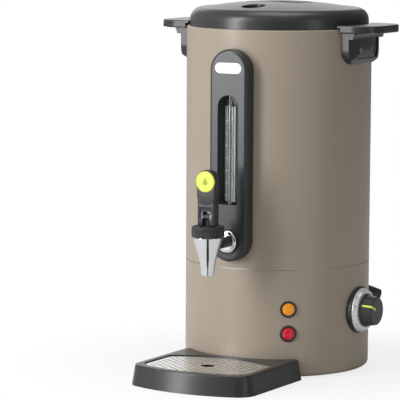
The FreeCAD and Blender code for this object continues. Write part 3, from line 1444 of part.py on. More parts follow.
def make_leads():
    """Leads from the terminal block to thermostat, element and cut-out."""
    low = PLATE_TOP_Z + TERMINAL_HEIGHT
    x, y = terminal_place()
    case_low = KNOB_Z - CASE_HALF_HEIGHT
    half_gap = math.radians(ELEMENT_GAP / 2)
    pin_x = ELEMENT_RING * math.cos(half_gap)
    pin_y = ELEMENT_RING * math.sin(half_gap)
    pin_low = ELEMENT_Z - ELEMENT_PIN_DROP
    tag_low = HEATER_LOW_Z - CUTOUT_TAG_DROP
    first = low + LEAD_BEND * 2
    second = low + LEAD_BEND * 6
    third = low + LEAD_BEND * 9
    routes = [
        [Vector(x + LEAD_PITCH, y, low), Vector(x + LEAD_PITCH, y, first), Vector(CASE_X, 10, first),
         Vector(CASE_X, 10, case_low)],
        [Vector(x, y, low), Vector(x, y, second), Vector(pin_x, pin_y, second + LEAD_BEND),
         Vector(pin_x, pin_y, pin_low)],
        [Vector(x - LEAD_PITCH, y, low), Vector(x - LEAD_PITCH, y, third),
         Vector(-CUTOUT_TAG_X, CUTOUT_AT_Y, third + LEAD_BEND), Vector(-CUTOUT_TAG_X, CUTOUT_AT_Y, tag_low)],
    ]
    return Part.makeCompound([routed_tube(route, LEAD_RADIUS, LEAD_BEND) for route in routes])


def bowed_wire(half, front, front_bow, front_corner, back, back_bow, back_corner, z):
    """Plan outline with straight sides at x = -half and half and bowed ends; each corner is an arc
    that runs smoothly into the side and the end."""
    points = []
    for end, bow, corner, way in ((front, front_bow, front_corner, -1), (back, back_bow, back_corner, 1)):
        centre = Vector(0, end - way * bow, z)
        across = half - corner
        along = math.sqrt((bow - corner) ** 2 - across ** 2)
        pivot = centre.add(Vector(across, way * along, 0))
        outward = pivot.sub(centre)
        outward.normalize()
        middle = outward.add(ALONG_X)
        middle.normalize()
        on_side = pivot.add(Vector(corner, 0, 0))
        on_end = centre.add(Vector(outward).multiply(bow))
        points.append((on_side, pivot.add(middle.multiply(corner)), on_end, Vector(0, end, z)))

    def left(point):
        return Vector(-point.x, point.y, point.z)

    front_side, front_middle, front_end, front_tip = points[0]
    back_side, back_middle, back_end, back_tip = points[1]
    return Part.Wire([
        Part.LineSegment(back_side, front_side).toShape(),
        Part.Arc(front_side, front_middle, front_end).toShape(),
        Part.Arc(front_end, front_tip, left(front_end)).toShape(),
        Part.Arc(left(front_end), left(front_middle), left(front_side)).toShape(),
        Part.LineSegment(left(front_side), left(back_side)).toShape(),
        Part.Arc(left(back_side), left(back_middle), left(back_end)).toShape(),
        Part.Arc(left(back_end), back_tip, back_end).toShape(),
        Part.Arc(back_end, back_middle, back_side).toShape(),
    ])


def tray_wire(draft, z):
    half = TRAY_HALF_WIDTH - draft
    return bowed_wire(half, TRAY_FRONT_Y + draft, TRAY_BOW - draft, TRAY_CORNER - draft,
                      TRAY_BACK_Y - draft / 2, TRAY_BACK_FLATNESS, TRAY_BACK_CORNER, z)


def make_drip_tray():
    solid = Part.makeLoft([tray_wire(0.0, 0.0), tray_wire(TRAY_DRAFT, TRAY_HEIGHT)], True, True)
    rims = [edge for edge in solid.Edges if edge.BoundBox.ZMin > TRAY_HEIGHT - 0.01]
    solid = solid.makeFillet(TRAY_EDGE, rims)
    solid = solid.cut(disc(BODY_RADIUS + TRAY_GAP, -1, TRAY_HEIGHT + 1))
    basin = basin_solid(GRILLE_LEDGE, TRAY_WALL, TRAY_HEIGHT + 1)
    ledge = basin_solid(-GRILLE_LAP, GRILLE_LOW_Z, TRAY_HEIGHT + 1)
    return solid.cut(basin).cut(ledge)


def basin_solid(inset, low, high):
    wire = bowed_wire(GRILLE_HALF_WIDTH - inset, GRILLE_FRONT_Y + inset, GRILLE_BOW - inset,
                      GRILLE_CORNER - inset, GRILLE_BACK_Y - inset, GRILLE_BACK_BOW - inset,
                      GRILLE_BACK_CORNER - inset, low)
    return Part.Face(wire).extrude(Vector(0, 0, high - low))


def make_drip_grille():
    low = GRILLE_LOW_Z
    plate = basin_solid(0.0, low, low + GRILLE_THICK)
    centre_y = (GRILLE_FRONT_Y + GRILLE_BACK_Y) / 2
    columns = int((GRILLE_HALF_WIDTH - GRILLE_RIM) / SLOT_PITCH_X)
    rows = int((GRILLE_BACK_Y - GRILLE_FRONT_Y - 2 * GRILLE_RIM) / SLOT_PITCH_Y)
    field = basin_solid(GRILLE_RIM, low - PAST, low + PAST)
    cutters = [disc(GRILLE_HOLE_RADIUS, low - 1, low + PAST, 0, centre_y)]
    half_width = SLOT_WIDTH / 2
    half_length = SLOT_LENGTH / 2
    for column in range(-columns, columns + 1):
        for row in range(rows):
            x = column * SLOT_PITCH_X
            y = centre_y + (row - (rows - 1) / 2.0) * SLOT_PITCH_Y
            if math.hypot(x, y - centre_y) < GRILLE_HOLE_RADIUS + SLOT_LENGTH:
                continue
            cutter = rounded_slab(x - half_width, x + half_width, y - half_length, y + half_length,
                                  low - 1, low + 3 * GRILLE_THICK, half_width - 0.01)
            if abs(cutter.common(field).Volume / cutter.Volume - 1) < 0.001:
                cutters.append(cutter)
    return plate.cut(cutters)


def mirrored(shape):
    return shape.mirror(Vector(0, 0, 0), ALONG_X)


def main():
    os.makedirs(PARTS, exist_ok=True)
    handle = make_handle()
    pieces = {
        "base_shell": make_base_shell(),
        "outer_jacket": make_outer_jacket(),
        "seam_ring": make_seam_ring(),
        "inner_tank": make_inner_tank(),
        "lid_shell": make_lid_shell(),
        "lid_plate": make_lid_plate(),
        "lid_screws": make_lid_screws(),
        "lid_gasket": make_lid_gasket(),
        "lid_vent_cap": make_vent_cap(),
        "handle_right": handle,
        "handle_left": mirrored(handle),
        "handle_screws": make_handle_screws(),
        "handle_nuts": make_handle_nuts(),
        "gauge_panel": make_gauge_panel(),
        "label_plate": make_label_plate(),
        "panel_screws": make_panel_screws(),
        "gauge_block": make_gauge_block(),
        "sight_tube": make_sight_tube(),
        "tube_seal": make_tube_seal(),
        "tube_cap": make_tube_cap(),
        "level_scale": make_level_scale(),
        "tap_shank": make_tap_shank(),
        "shank_nut": make_shank_nut(),
        "tank_seals": make_tank_seals(),
        "tap_flange": make_tap_flange(),
        "flange_gasket": make_flange_gasket(),
        "tap_spout": make_tap_spout(),
        "tap_collar": make_tap_collar(),
        "tap_stem": make_tap_stem(),
        "seat_cup": make_seat_cup(),
        "tap_spring": make_tap_spring(),
        "tap_lever": make_tap_lever(),
        "lever_badge": make_lever_badge(),
        "lever_pin": make_lever_pin(),
        "lamp_bezels": make_lamp_bezels(),
        "lamp_lens_amber": make_lamp_lens(LAMP_Z[0]),
        "lamp_lens_red": make_lamp_lens(LAMP_Z[1]),
        "lamp_bodies": make_lamp_bodies(),
        "dial_bezel": make_dial_bezel(),
        "dial_ring": make_dial_ring(),
        "thermostat_knob": make_thermostat_knob(),
        "knob_pointer": pointer_body(),
        "thermostat_shaft": make_thermostat_shaft(),
        "thermostat_body": make_thermostat_body(),
        "thermostat_bulb": make_thermostat_bulb(),
        "bulb_clip": make_bulb_clip(),
        "capillary": make_capillary(),
        "cord_gland": make_cord_gland(),
        "gland_nut": make_gland_nut(),
        "base_plate": make_base_plate(),
        "base_screws": make_base_screws(),
        "base_nuts": make_base_nuts(),
        "feet": make_feet(),
        "heater_plate": make_heater_plate(),
        "heating_element": make_heating_element(),
        "thermal_cutout": make_thermal_cutout(),
        "terminal_block": make_terminal_block(),
        "leads": make_leads(),
        "drip_tray": make_drip_tray(),
        "drip_grille": make_drip_grille(),
    }
    for node, shape in pieces.items():
        print(node, len(shape.Solids), round(shape.Volume), shape.isValid())
        save(node, shape)


main()
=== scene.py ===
import math

import bmesh
import bpy
from bpy.props import FloatProperty, FloatVectorProperty, IntProperty, PointerProperty
from mathutils import Matrix, Vector


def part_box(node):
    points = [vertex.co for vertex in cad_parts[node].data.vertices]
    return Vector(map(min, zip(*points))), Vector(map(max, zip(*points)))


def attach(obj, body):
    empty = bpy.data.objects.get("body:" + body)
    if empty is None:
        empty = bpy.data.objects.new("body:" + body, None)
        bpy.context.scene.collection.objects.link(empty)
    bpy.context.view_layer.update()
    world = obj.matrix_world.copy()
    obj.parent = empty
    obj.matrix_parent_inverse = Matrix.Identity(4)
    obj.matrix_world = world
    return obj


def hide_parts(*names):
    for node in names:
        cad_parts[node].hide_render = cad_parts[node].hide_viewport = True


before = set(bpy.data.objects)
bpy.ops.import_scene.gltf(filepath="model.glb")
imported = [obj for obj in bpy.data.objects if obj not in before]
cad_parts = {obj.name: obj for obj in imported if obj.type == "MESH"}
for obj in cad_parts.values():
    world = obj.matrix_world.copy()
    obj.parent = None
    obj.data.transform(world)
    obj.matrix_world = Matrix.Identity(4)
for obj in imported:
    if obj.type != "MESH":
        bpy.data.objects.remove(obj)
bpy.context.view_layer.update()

bl_info = {
    "name": "Hot water urn",
    "version": (1, 0, 0),
    "blender": (4, 5, 0),
    "location": "View3D > Sidebar > Urn",
    "description": "Builds the visible pieces and finishes of a hot water urn around its frame",
    "category": "Object",
}

MM = 0.001
INSET = 0.1                             # how far a piece stays inside its frame box, in mm
WELD = 1e-6                             # points nearer than this are one, in metres
PATCH_MM = 45                           # size of the slight changes of tone
MIX_A, MIX_B, MIX_RESULT = 6, 7, 2      # colour sockets of the Mix node
# Level directions 28 degrees round from the front and from the right
FRONT_RIGHT = (0.475, -0.88, 0.0)
BACK_RIGHT = (0.88, 0.475, 0.0)


def linear(text):
    """Linear red, green and blue of an sRGB hex colour."""
    parts = [int(text[i:i + 2], 16) / 255 for i in (1, 3, 5)]
    return tuple(c / 12.92 if c <= 0.04045 else ((c + 0.055) / 1.055) ** 2.4 for c in parts)


def grey(level):
    return (level, level, level, 1)


def colour(text, label, words):
    return FloatVectorProperty(name=label, description=words, subtype="COLOR", size=3, min=0, max=1,
                               default=linear(text))


def length(mm, label, words):
    return FloatProperty(name=label, description=words, subtype="DISTANCE", unit="LENGTH",
                         default=mm * MM)


class UrnColours(bpy.types.PropertyGroup):
    jacket: colour("#A09484", "Jacket", "Powder coat of the jacket and base")
    plastic: colour("#2F3032", "Plastic", "Anthracite moulded plastic")
    lime: colour("#DDEB55", "Lime", "Lime plastic of the badge and the pointer")
    amber: colour("#F0A010", "Amber", "Upper lamp lens")
    red: colour("#D0142C", "Red", "Lower lamp lens")
    silver: colour("#E6E7E8", "Dial", "Silver paint of the thermostat dial")


class UrnSizes(bpy.types.PropertyGroup):
    collar_ribs: IntProperty(name="Collar ribs", description="Ribs around the tap's collar",
                             default=60, min=12)
    dial_marks: IntProperty(name="Dial marks", description="Marks around the thermostat dial",
                            default=11, min=3)
    camera_distance: length(3300, "Camera distance", "From the camera to the urn's axis")


def node(tree, kind, inputs=None, **settings):
    """Add one node; inputs holds plain values or the sockets to link from."""
    made = tree.nodes.new(kind)
    for key, value in settings.items():
        setattr(made, key, value)
    for key, value in (inputs or {}).items():
        if isinstance(value, bpy.types.NodeSocket):
            tree.links.new(value, made.inputs[key])
        else:
            made.inputs[key].default_value = value
    return made


def ramp(tree, value, start, end, low, high):
    """A value mapped from one range to another and held at its ends."""
    made = node(tree, "ShaderNodeMapRange", {"Value": value, "From Min": start, "From Max": end,
                                             "To Min": low, "To Max": high})
    return made.outputs[0]


def along_way(tree, place, way):
    """How far a point lies along a direction."""
    made = node(tree, "ShaderNodeVectorMath", {0: place, 1: way}, operation="DOT_PRODUCT")
    return made.outputs["Value"]


def new_material(name):
    material = bpy.data.materials.new(name)
    material.use_nodes = True
    material.node_tree.nodes.clear()
    return material, material.node_tree


def shaded(tone, share):
    """A colour made lighter or darker by a share, as four numbers."""
    return tuple(min(1.0, c * (1 + share)) for c in tone) + (1.0,)


def surface(name, tone, roughness, grain_mm, bump_mm, vary=0.06, stretch=(1, 1, 1), uneven=0.05,
            **sockets):
    """A surface with fine relief, a slight change of tone and uneven gloss, on object coordinates.
    grain_mm is the size of the relief and bump_mm its height. A stretch under 1 draws the relief
    out along its axis, and one over 1 packs it closer."""
    material, tree = new_material(name)
    place = node(tree, "ShaderNodeTexCoord").outputs["Object"]
    mapping = node(tree, "ShaderNodeMapping", {"Vector": place, "Scale": stretch})
    grain = node(tree, "ShaderNodeTexNoise", {"Vector": mapping.outputs[0], "Detail": 3.0,
                                              "Scale": 1 / (grain_mm * MM), "Roughness": 0.55})
    patch = node(tree, "ShaderNodeTexNoise", {"Vector": place, "Scale": 1 / (PATCH_MM * MM),
                                              "Detail": 2.0})
    tint = node(tree, "ShaderNodeMix", {"Factor": patch.outputs[0], MIX_A: shaded(tone, -vary),
                                        MIX_B: shaded(tone, vary)}, data_type="RGBA")
    gloss = ramp(tree, grain.outputs[0], 0.0, 1.0, roughness - uneven, roughness + uneven)
    relief = node(tree, "ShaderNodeBump", {"Height": grain.outputs[0], "Strength": 0.6,
                                           "Distance": bump_mm * MM})
    shader = node(tree, "ShaderNodeBsdfPrincipled", {
        "Base Color": tint.outputs[MIX_RESULT], "Roughness": gloss, "Normal": relief.outputs[0],
        **sockets})
    node(tree, "ShaderNodeOutputMaterial", {"Surface": shader.outputs[0]})
    return material


def finishes():
    """Every finish of the urn, by name, each from the real material and how its surface was made.
    A line holds the colour, roughness, size of the relief and its height, the last two in mm."""
    tones = bpy.context.scene.urn_colours
    made = {}

    def add(name, *facts, **more):
        made[name] = surface(name, *facts, **more)

    # Polyester powder coat on steel, baked: satin with a fine orange peel
    add("powder_coat_satin", tones.jacket, 0.38, 1.4, 0.035, vary=0.025,
        **{"Specular IOR Level": 0.45})
    # ABS moulded in a lightly etched tool: satin, with a fine even grain
    add("abs_moulded_anthracite", tones.plastic, 0.31, 0.7, 0.02, vary=0.05, uneven=0.03)
    # The same plastic where hands polish it
    add("abs_worn_anthracite", tones.plastic, 0.28, 0.8, 0.015, vary=0.06, uneven=0.05)
    # Hard phenolic of the collar, stem and lamp rings, darker and drier than the ABS
    add("phenolic_black", linear("#2A2A2B"), 0.5, 0.5, 0.03, vary=0.08)
    # Nickel and chrome on brass, buffed: a mirror with the faintest haze
    add("chrome_polished", linear("#E9EBEC"), 0.06, 2.5, 0.002, vary=0.01, uneven=0.02,
        Metallic=1.0)
    # 18/8 stainless sheet, drawn: fine lines round the wall
    add("stainless_drawn", linear("#C9C9C6"), 0.3, 1.0, 0.012, vary=0.04, stretch=(1, 1, 12),
        uneven=0.08, Metallic=1.0)
    # Stainless sheet of the grille, brushed along its length
    add("stainless_brushed", linear("#EAEAE8"), 0.3, 0.8, 0.012, vary=0.04, stretch=(0.06, 1, 1),
        uneven=0.09, Metallic=1.0)
    add("zinc_plated", linear("#B4B5B2"), 0.38, 2.0, 0.01, vary=0.08, Metallic=1.0)
    add("brass_turned", linear("#C6A264"), 0.28, 0.6, 0.01, vary=0.05, Metallic=1.0)
    add("aluminium_rolled", linear("#C8C9CB"), 0.34, 0.8, 0.01, vary=0.04, stretch=(0.1, 1, 1),
        Metallic=1.0)
    # Gloss white plastic of the blank plate and the level strip
    add("white_gloss", linear("#F4F4F2"), 0.22, 1.2, 0.006, vary=0.01, uneven=0.03)
    add("gauge_grey", linear("#A9ACAE"), 0.3, 1.2, 0.006, vary=0.02)
    add("silicone_milky", linear("#D8D8D2"), 0.5, 0.9, 0.01, vary=0.03,
        **{"Subsurface Weight": 0.2})
    add("rubber_black", linear("#1C1C1D"), 0.62, 0.6, 0.03, vary=0.1)
    add("lime_plastic", tones.lime, 0.34, 0.7, 0.012, vary=0.03)
    add("lime_dark", linear("#9DB024"), 0.4, 0.7, 0.012, vary=0.03)
    add("silver_paint", tones.silver, 0.3, 0.35, 0.008, vary=0.03, uneven=0.04, Metallic=0.35)
    add("ink_grey", linear("#55585B"), 0.5, 0.6, 0.004, vary=0.04)
    add("steatite_white", linear("#E6E4DC"), 0.45, 0.8, 0.02, vary=0.04)
    add("pvc_lead", linear("#7A3B26"), 0.4, 0.9, 0.01, vary=0.05)
    # Polycarbonate lamp lenses, with a faint painted glow that stands in for the daylight they
    # gather
    for name, tone in (("amber_polycarbonate", tones.amber), ("red_polycarbonate", tones.red)):
        add(name, tone, 0.12, 1.6, 0.03, vary=0.06, uneven=0.03,
            **{"Transmission Weight": 0.35, "IOR": 1.58, "Emission Strength": 0.18,
               "Emission Color": tuple(tone) + (1.0,)})
    # Borosilicate tube: clear, with drawing lines too faint to see
    add("glass_clear", linear("#F6FAFA"), 0.03, 3.0, 0.002, vary=0.005, uneven=0.01,
        **{"Transmission Weight": 1.0, "IOR": 1.47})
    return made


CAD_FINISHES = {
    "powder_coat_satin": ["outer_jacket", "base_shell"],
    "abs_moulded_anthracite": ["lid_shell", "lid_plate", "lid_vent_cap", "gauge_panel", "tap_shank",
                               "cord_gland", "gland_nut", "dial_bezel", "lamp_bezels", "handle_left",
                               "handle_right", "drip_tray", "thermostat_knob"],
    "abs_worn_anthracite": ["tap_lever"],
    "phenolic_black": ["tap_collar", "tap_stem", "lever_pin"],
    "chrome_polished": ["tap_spout", "tap_flange"],
    "stainless_drawn": ["inner_tank", "tap_spring", "heating_element", "lid_screws"],
    "stainless_brushed": ["drip_grille"],
    "zinc_plated": ["seam_ring", "handle_screws", "handle_nuts", "panel_screws", "base_plate",
                    "base_screws", "base_nuts", "bulb_clip"],
    "brass_turned": ["gauge_block", "shank_nut", "thermostat_shaft", "thermostat_bulb",
                     "capillary"],
    "aluminium_rolled": ["heater_plate"],
    "white_gloss": ["label_plate", "level_scale"],
    "silicone_milky": ["lid_gasket", "tube_seal", "tube_cap", "tank_seals", "seat_cup"],
    "rubber_black": ["feet", "flange_gasket"],
    "lime_plastic": ["lever_badge", "knob_pointer"],
    "silver_paint": ["dial_ring"],
    "steatite_white": ["lamp_bodies", "thermostat_body", "thermal_cutout", "terminal_block"],
    "pvc_lead": ["leads"],
    "amber_polycarbonate": ["lamp_lens_amber"],
    "red_polycarbonate": ["lamp_lens_red"],
    "glass_clear": ["sight_tube"],
}


def finish_of(name):
    found = bpy.data.materials.get(name)
    if found is None:
        finishes()
        found = bpy.data.materials[name]
    return found


def piece(bm, name, finish, body, replaces=(), smooth=40.0):
    """Turn a bmesh into a finished piece that rides on a body."""
    bmesh.ops.remove_doubles(bm, verts=bm.verts, dist=0.5e-6)
    bmesh.ops.recalc_face_normals(bm, faces=bm.faces)
    mesh = bpy.data.meshes.new(name)
    bm.to_mesh(mesh)
    bm.free()
    made = bpy.data.objects.new(name, mesh)
    bpy.context.scene.collection.objects.link(made)
    mesh.materials.append(finish_of(finish))
    smooth_by_angle(mesh, smooth)
    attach(made, body)
    if replaces:
        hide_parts(*replaces)
    return made


def smooth_by_angle(mesh, degrees):
    """Shade smooth, but keep edges sharper than an angle crisp."""
    bm = bmesh.new()
    bm.from_mesh(mesh)
    limit = math.radians(degrees)
    for face in bm.faces:
        face.smooth = True
    for edge in bm.edges:
        edge.smooth = len(edge.link_faces) == 2 and edge.calc_face_angle(0.0) < limit
    bm.to_mesh(mesh)
    bm.free()


def arc(centre_r, centre_z, radius, start, end, steps=6):
    """Points of an arc in the (radius, height) plane, in millimetres and degrees."""
    points = []
    for number in range(steps + 1):
        angle = math.radians(start + (end - start) * number / steps)
        points.append((centre_r + radius * math.cos(angle), centre_z + radius * math.sin(angle)))
    return points


def turned(outline, steps=128, closed=True):
    """Spin a line of (radius, height) points, in millimetres, about the Z axis."""
    bm = bmesh.new()
    verts = [bm.verts.new((r * MM, 0, z * MM)) for r, z in outline]
    edges = [bm.edges.new(pair) for pair in zip(verts, verts[1:])]
    if closed:
        edges.append(bm.edges.new((verts[-1], verts[0])))
    bmesh.ops.spin(bm, geom=verts + edges, cent=(0, 0, 0), axis=(0, 0, 1), angle=2 * math.pi,
                   steps=steps, use_merge=True)
    bmesh.ops.remove_doubles(bm, verts=bm.verts, dist=WELD)
    empty = [face for face in bm.faces if face.calc_area() < WELD ** 2 / 100]
    bmesh.ops.delete(bm, geom=empty, context="FACES")
    return bm


def rod(radius, low, high, steps):
    """A solid rod about the Z axis, in millimetres."""
    return turned([(0, low), (radius, low), (radius, high), (0, high)], steps=steps, closed=False)


def slab(x0, x1, y0, y1, z0, z1, corner, edge=0.0, corner_steps=10, edge_steps=3):
    """A plate with rounded corners and rims, in millimetres."""
    bm = bmesh.new()
    corners = [bm.verts.new((x * MM, y * MM, z0 * MM))
               for x, y in ((x0, y0), (x1, y0), (x1, y1), (x0, y1))]
    bm.faces.new(corners)
    if corner > 0:
        bmesh.ops.bevel(bm, geom=bm.verts[:], offset=corner * MM, offset_type="OFFSET",
                        segments=corner_steps, profile=0.5, affect="VERTICES", material=-1)
        bmesh.ops.remove_doubles(bm, verts=bm.verts, dist=WELD)
    grown = bmesh.ops.extrude_face_region(bm, geom=bm.faces[:])
    up = [item for item in grown["geom"] if isinstance(item, bmesh.types.BMVert)]
    bmesh.ops.translate(bm, verts=up, vec=(0, 0, (z1 - z0) * MM))
    bmesh.ops.recalc_face_normals(bm, faces=bm.faces)
    round_rims(bm, z1, edge, edge_steps)
    round_rims(bm, z0, edge, edge_steps)
    return bm


def round_rims(bm, height, edge, steps):
    """Round the rim edges that lie at one height."""
    if edge <= 0:
        return
    sharp = 0.5                                      # radians between an edge's faces
    rim = [e for e in bm.edges if all(abs(v.co.z - height * MM) < WELD for v in e.verts)
           and e.calc_face_angle(0.0) > sharp]
    bmesh.ops.bevel(bm, geom=rim, offset=edge * MM, offset_type="OFFSET", segments=steps,
                    profile=0.5, affect="EDGES", material=-1, clamp_overlap=True)


def moved(bm, *matrices):
    for matrix in matrices:
        bmesh.ops.transform(bm, matrix=matrix, verts=bm.verts)
    return bm


def joined(*meshes):
    """Several bmeshes as one."""
    whole = bmesh.new()
    for bm in meshes:
        mesh = bpy.data.meshes.new("part")
        bm.to_mesh(mesh)
        bm.free()
        whole.from_mesh(mesh)
        bpy.data.meshes.remove(mesh)
    return whole


def combined(bm, other, way):
    """One bmesh joined to another, or cut by it; way is UNION or DIFFERENCE."""
    made = []
    for source in (bm, other):
        bmesh.ops.recalc_face_normals(source, faces=source.faces)
        mesh = bpy.data.meshes.new("part")
        source.to_mesh(mesh)
        source.free()
        shape = bpy.data.objects.new("part", mesh)
        bpy.context.scene.collection.objects.link(shape)
        made.append(shape)
    cut = made[0].modifiers.new("cut", "BOOLEAN")
    cut.operation = way
    cut.object = made[1]
    cut.solver = "EXACT"
    bpy.context.view_layer.update()
    worked = made[0].evaluated_get(bpy.context.evaluated_depsgraph_get())
    result = bmesh.new()
    result.from_mesh(worked.to_mesh())
    worked.to_mesh_clear()
    for shape in made:
        mesh = shape.data
        bpy.data.objects.remove(shape)
        bpy.data.meshes.remove(mesh)
    return result


def middle(node_name):
    low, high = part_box(node_name)
    return (low + high) / 2 / MM


def low_corner(node_name):
    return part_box(node_name)[0] / MM


def high_corner(node_name):
    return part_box(node_name)[1] / MM


def shift(x, y, z):
    return Matrix.Translation((x * MM, y * MM, z * MM))


TO_FRONT = Matrix.Rotation(math.radians(90), 4, "X")
TO_RIGHT = Matrix.Rotation(math.radians(90), 4, "Y")


class UrnOperator:
    bl_options = {"REGISTER", "UNDO"}

    def execute(self, context):
        self.build(context)
        return {"FINISHED"}


class UrnFinishesOperator(UrnOperator, bpy.types.Operator):
    """Give every carried-over piece its finish"""
    bl_idname = "urn.finishes"
    bl_label = "Finishes"

    def build(self, context):
        finishes()
        for finish, names in CAD_FINISHES.items():
            for name in names:
                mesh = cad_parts[name].data
                mesh.materials.clear()
                mesh.materials.append(bpy.data.materials[finish])
        named = {name for names in CAD_FINISHES.values() for name in names}
        left = set(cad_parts) - named
        if left:
            raise RuntimeError(f"no finish for {sorted(left)}")


class UrnCollarOperator(UrnOperator, bpy.types.Operator):
    """Ribbed collar of the tap"""
    bl_idname = "urn.collar"
    bl_label = "Tap collar"

    def build(self, context):
        ribs = context.scene.urn_sizes.collar_ribs
        facets = 4                                   # around one rib, half of them in its groove
        low, high = low_corner("tap_collar"), high_corner("tap_collar")
        radius = (high.x - low.x) / 2 - INSET
        foot, top = high_corner("tap_spout").z, high.z
        bore, foot_round, top_round = 2.7, 0.8, 1.6
        rib_foot, rib_top, rib_depth = 1.6, 3.6, 0.55
        dish_depth, dish_slope = 0.5, 0.4            # the shallow ring sunk into the top
        dish_outer, dish_inner = radius - 4.4, bore + 4.2
        outline = ([(bore, foot), (radius - foot_round, foot)]
                   + arc(radius - foot_round, foot + foot_round, foot_round, -90, 0, 3)
                   + [(radius, foot + rib_foot), (radius, top - rib_top)]
                   + arc(radius - top_round, top - top_round, top_round, 0, 90, 5)
                   + [(dish_outer, top), (dish_outer - dish_slope, top - dish_depth),
                      (dish_inner + dish_slope, top - dish_depth), (dish_inner, top), (bore, top)])
        bm = turned(outline, steps=ribs * facets)
        band_low, band_high, band_radius = foot + 1.0, top - 2.5, radius - 0.5
        scale = 1 - rib_depth / radius
        for vert in bm.verts:
            if not band_low < vert.co.z / MM < band_high:
                continue
            if math.hypot(vert.co.x, vert.co.y) <= band_radius * MM:
                continue
            turn = math.atan2(vert.co.y, vert.co.x) * ribs / (2 * math.pi)
            if round(turn * facets) % facets < facets // 2:
                vert.co.x *= scale
                vert.co.y *= scale
        moved(bm, shift(0, middle("tap_spout").y, 0))
        piece(bm, "collar_ribbed", "phenolic_black", "urn", ["tap_collar"],
              smooth=30)


class UrnSpoutOperator(UrnOperator, bpy.types.Operator):
    """Chrome spout with its concave side and rolled mouth"""
    bl_idname = "urn.spout"
    bl_label = "Tap spout"

    def build(self, context):
        low, high = low_corner("tap_spout"), high_corner("tap_spout")
        top_radius = (high.x - low.x) / 2 - INSET
        mouth, outlet, lip = 8.0, 5.5, 0.5
        neck_high, neck_flare = 8.4, 0.6
        bend_steps, bend_rise, bend_flare, bend_power = 8, 1.5, 2.3, 1.25
        rim = 0.6
        cup, cup_deep = 11.6, 16                     # the wide bore under the collar
        throat, throat_deep = 5.6, 20
        neck = [(mouth, low.z + 0.7), (mouth + neck_flare / 2, low.z + neck_high / 2),
                (mouth + neck_flare, low.z + neck_high)]
        bend = [(mouth + neck_flare + bend_flare * (n / bend_steps) ** bend_power,
                 low.z + neck_high + bend_rise * n) for n in range(1, bend_steps + 1)]
        outline = ([(outlet, low.z + 7), (mouth - 1.2, low.z + 0.3)]
                   + arc(mouth - lip, low.z + 0.6, lip, 225, 350, 4)
                   + neck + bend + [(top_radius - rim / 2, high.z - 1.0)]
                   + arc(top_radius - 1.5 * rim, high.z - rim - INSET, rim, 0, 90, 4)
                   + [(cup, high.z - INSET), (cup, high.z - cup_deep),
                      (throat, high.z - throat_deep)])
        bm = turned(outline, steps=128)
        moved(bm, shift(0, middle("tap_spout").y, 0))
        piece(bm, "spout_chrome", "chrome_polished", "urn", ["tap_spout"], smooth=35)


class UrnLeverOperator(UrnOperator, bpy.types.Operator):
    """Tap lever with its fork, step and round badge seat"""
    bl_idname = "urn.lever"
    bl_label = "Tap lever"

    def build(self, context):
        low, high = low_corner("tap_lever"), high_corner("tap_lever")
        pin = middle("lever_pin")
        half = (high.x - low.x) / 2 - 0.3
        step = low.z + 24.8                          # where the plate's front ends, above the fork
        front, back = low.y + INSET, high.y - INSET
        plate_edge = 1.6
        leg_inset, leg_deep, leg_rise = 0.8, 6, 9
        fork_half, fork_rise = 4.5, 7
        notch_inset, notch_front, notch_back, notch_foot, notch_top = 4, 12, 4.6, 9, 1.5
        pin_radius, well_radius, well_deep = 1.5, 12.9, 1.2
        plate = slab(-half, half, step, high.z - INSET, 0, back - front, half - 0.5, plate_edge,
                     12, 4)
        moved(plate, TO_FRONT, shift(0, back, 0))
        legs = slab(leg_inset - half, half - leg_inset, pin.y - leg_deep, pin.y + leg_deep,
                    low.z + INSET, step + leg_rise, 1.8, 1.2, 5, 3)
        lever = combined(plate, legs, "UNION")
        fork = slab(-fork_half, fork_half, pin.y - 20, pin.y + 20, low.z - 5, pin.z + fork_rise, 0)
        lever = combined(lever, fork, "DIFFERENCE")
        notch = slab(notch_inset - half, half - notch_inset, pin.y - notch_front,
                     pin.y - notch_back, low.z + notch_foot, step - notch_top, 1.0, 0.4, 4, 2)
        lever = combined(lever, notch, "DIFFERENCE")
        bore = moved(rod(pin_radius, -30, 30, 32), TO_RIGHT, shift(0, pin.y, pin.z))
        lever = combined(lever, bore, "DIFFERENCE")
        well = moved(rod(well_radius, -well_deep, 6, 96), TO_FRONT,
                     shift(0, front, middle("lever_badge").z))
        lever = combined(lever, well, "DIFFERENCE")
        made = piece(lever, "lever_plate", "abs_worn_anthracite", "lever", ["tap_lever"],
                     smooth=32)
        soften(made, 0.35)


class UrnBadgeOperator(UrnOperator, bpy.types.Operator):
    """Lime badge: a plain disc with a raised rim and a plain drop in its middle"""
    bl_idname = "urn.badge"
    bl_label = "Lever badge"

    def build(self, context):
        seat = middle("lever_badge")
        front = low_corner("lever_badge").y
        radius, thick, side, round_over, sunk = 12.6, 2.4, 0.9, 0.8, 0.35
        outline = ([(0, -thick), (radius, -thick), (radius, -side)]
                   + arc(radius - round_over, -round_over, round_over, 0, 90, 4)
                   + [(radius - 1.5, 0), (radius - 1.9, -sunk), (0, -sunk)])
        disc = moved(turned(outline, steps=128, closed=False), TO_FRONT, shift(0, front, seat.z))
        piece(disc, "badge_disc", "lime_plastic", "lever", ["lever_badge"], smooth=30)
        self.drop(front, seat)

    def drop(self, front, seat):
        """A ball drawn out to a point at the top and pressed flat."""
        size, point, tallness, flatness = 3.4 * MM, 0.75, 2.6 * MM, 0.07
        drop = bmesh.new()
        bmesh.ops.create_uvsphere(drop, u_segments=32, v_segments=16, radius=size)
        for vert in drop.verts:
            rise = max(0.0, vert.co.z) / size
            vert.co.x *= 1 - point * rise ** 1.3
            vert.co.z += tallness * rise ** 2
            vert.co.y *= flatness
        moved(drop, shift(0, front + 0.3, seat.z - 0.8))
        piece(drop, "badge_drop", "lime_dark", "lever", smooth=60)


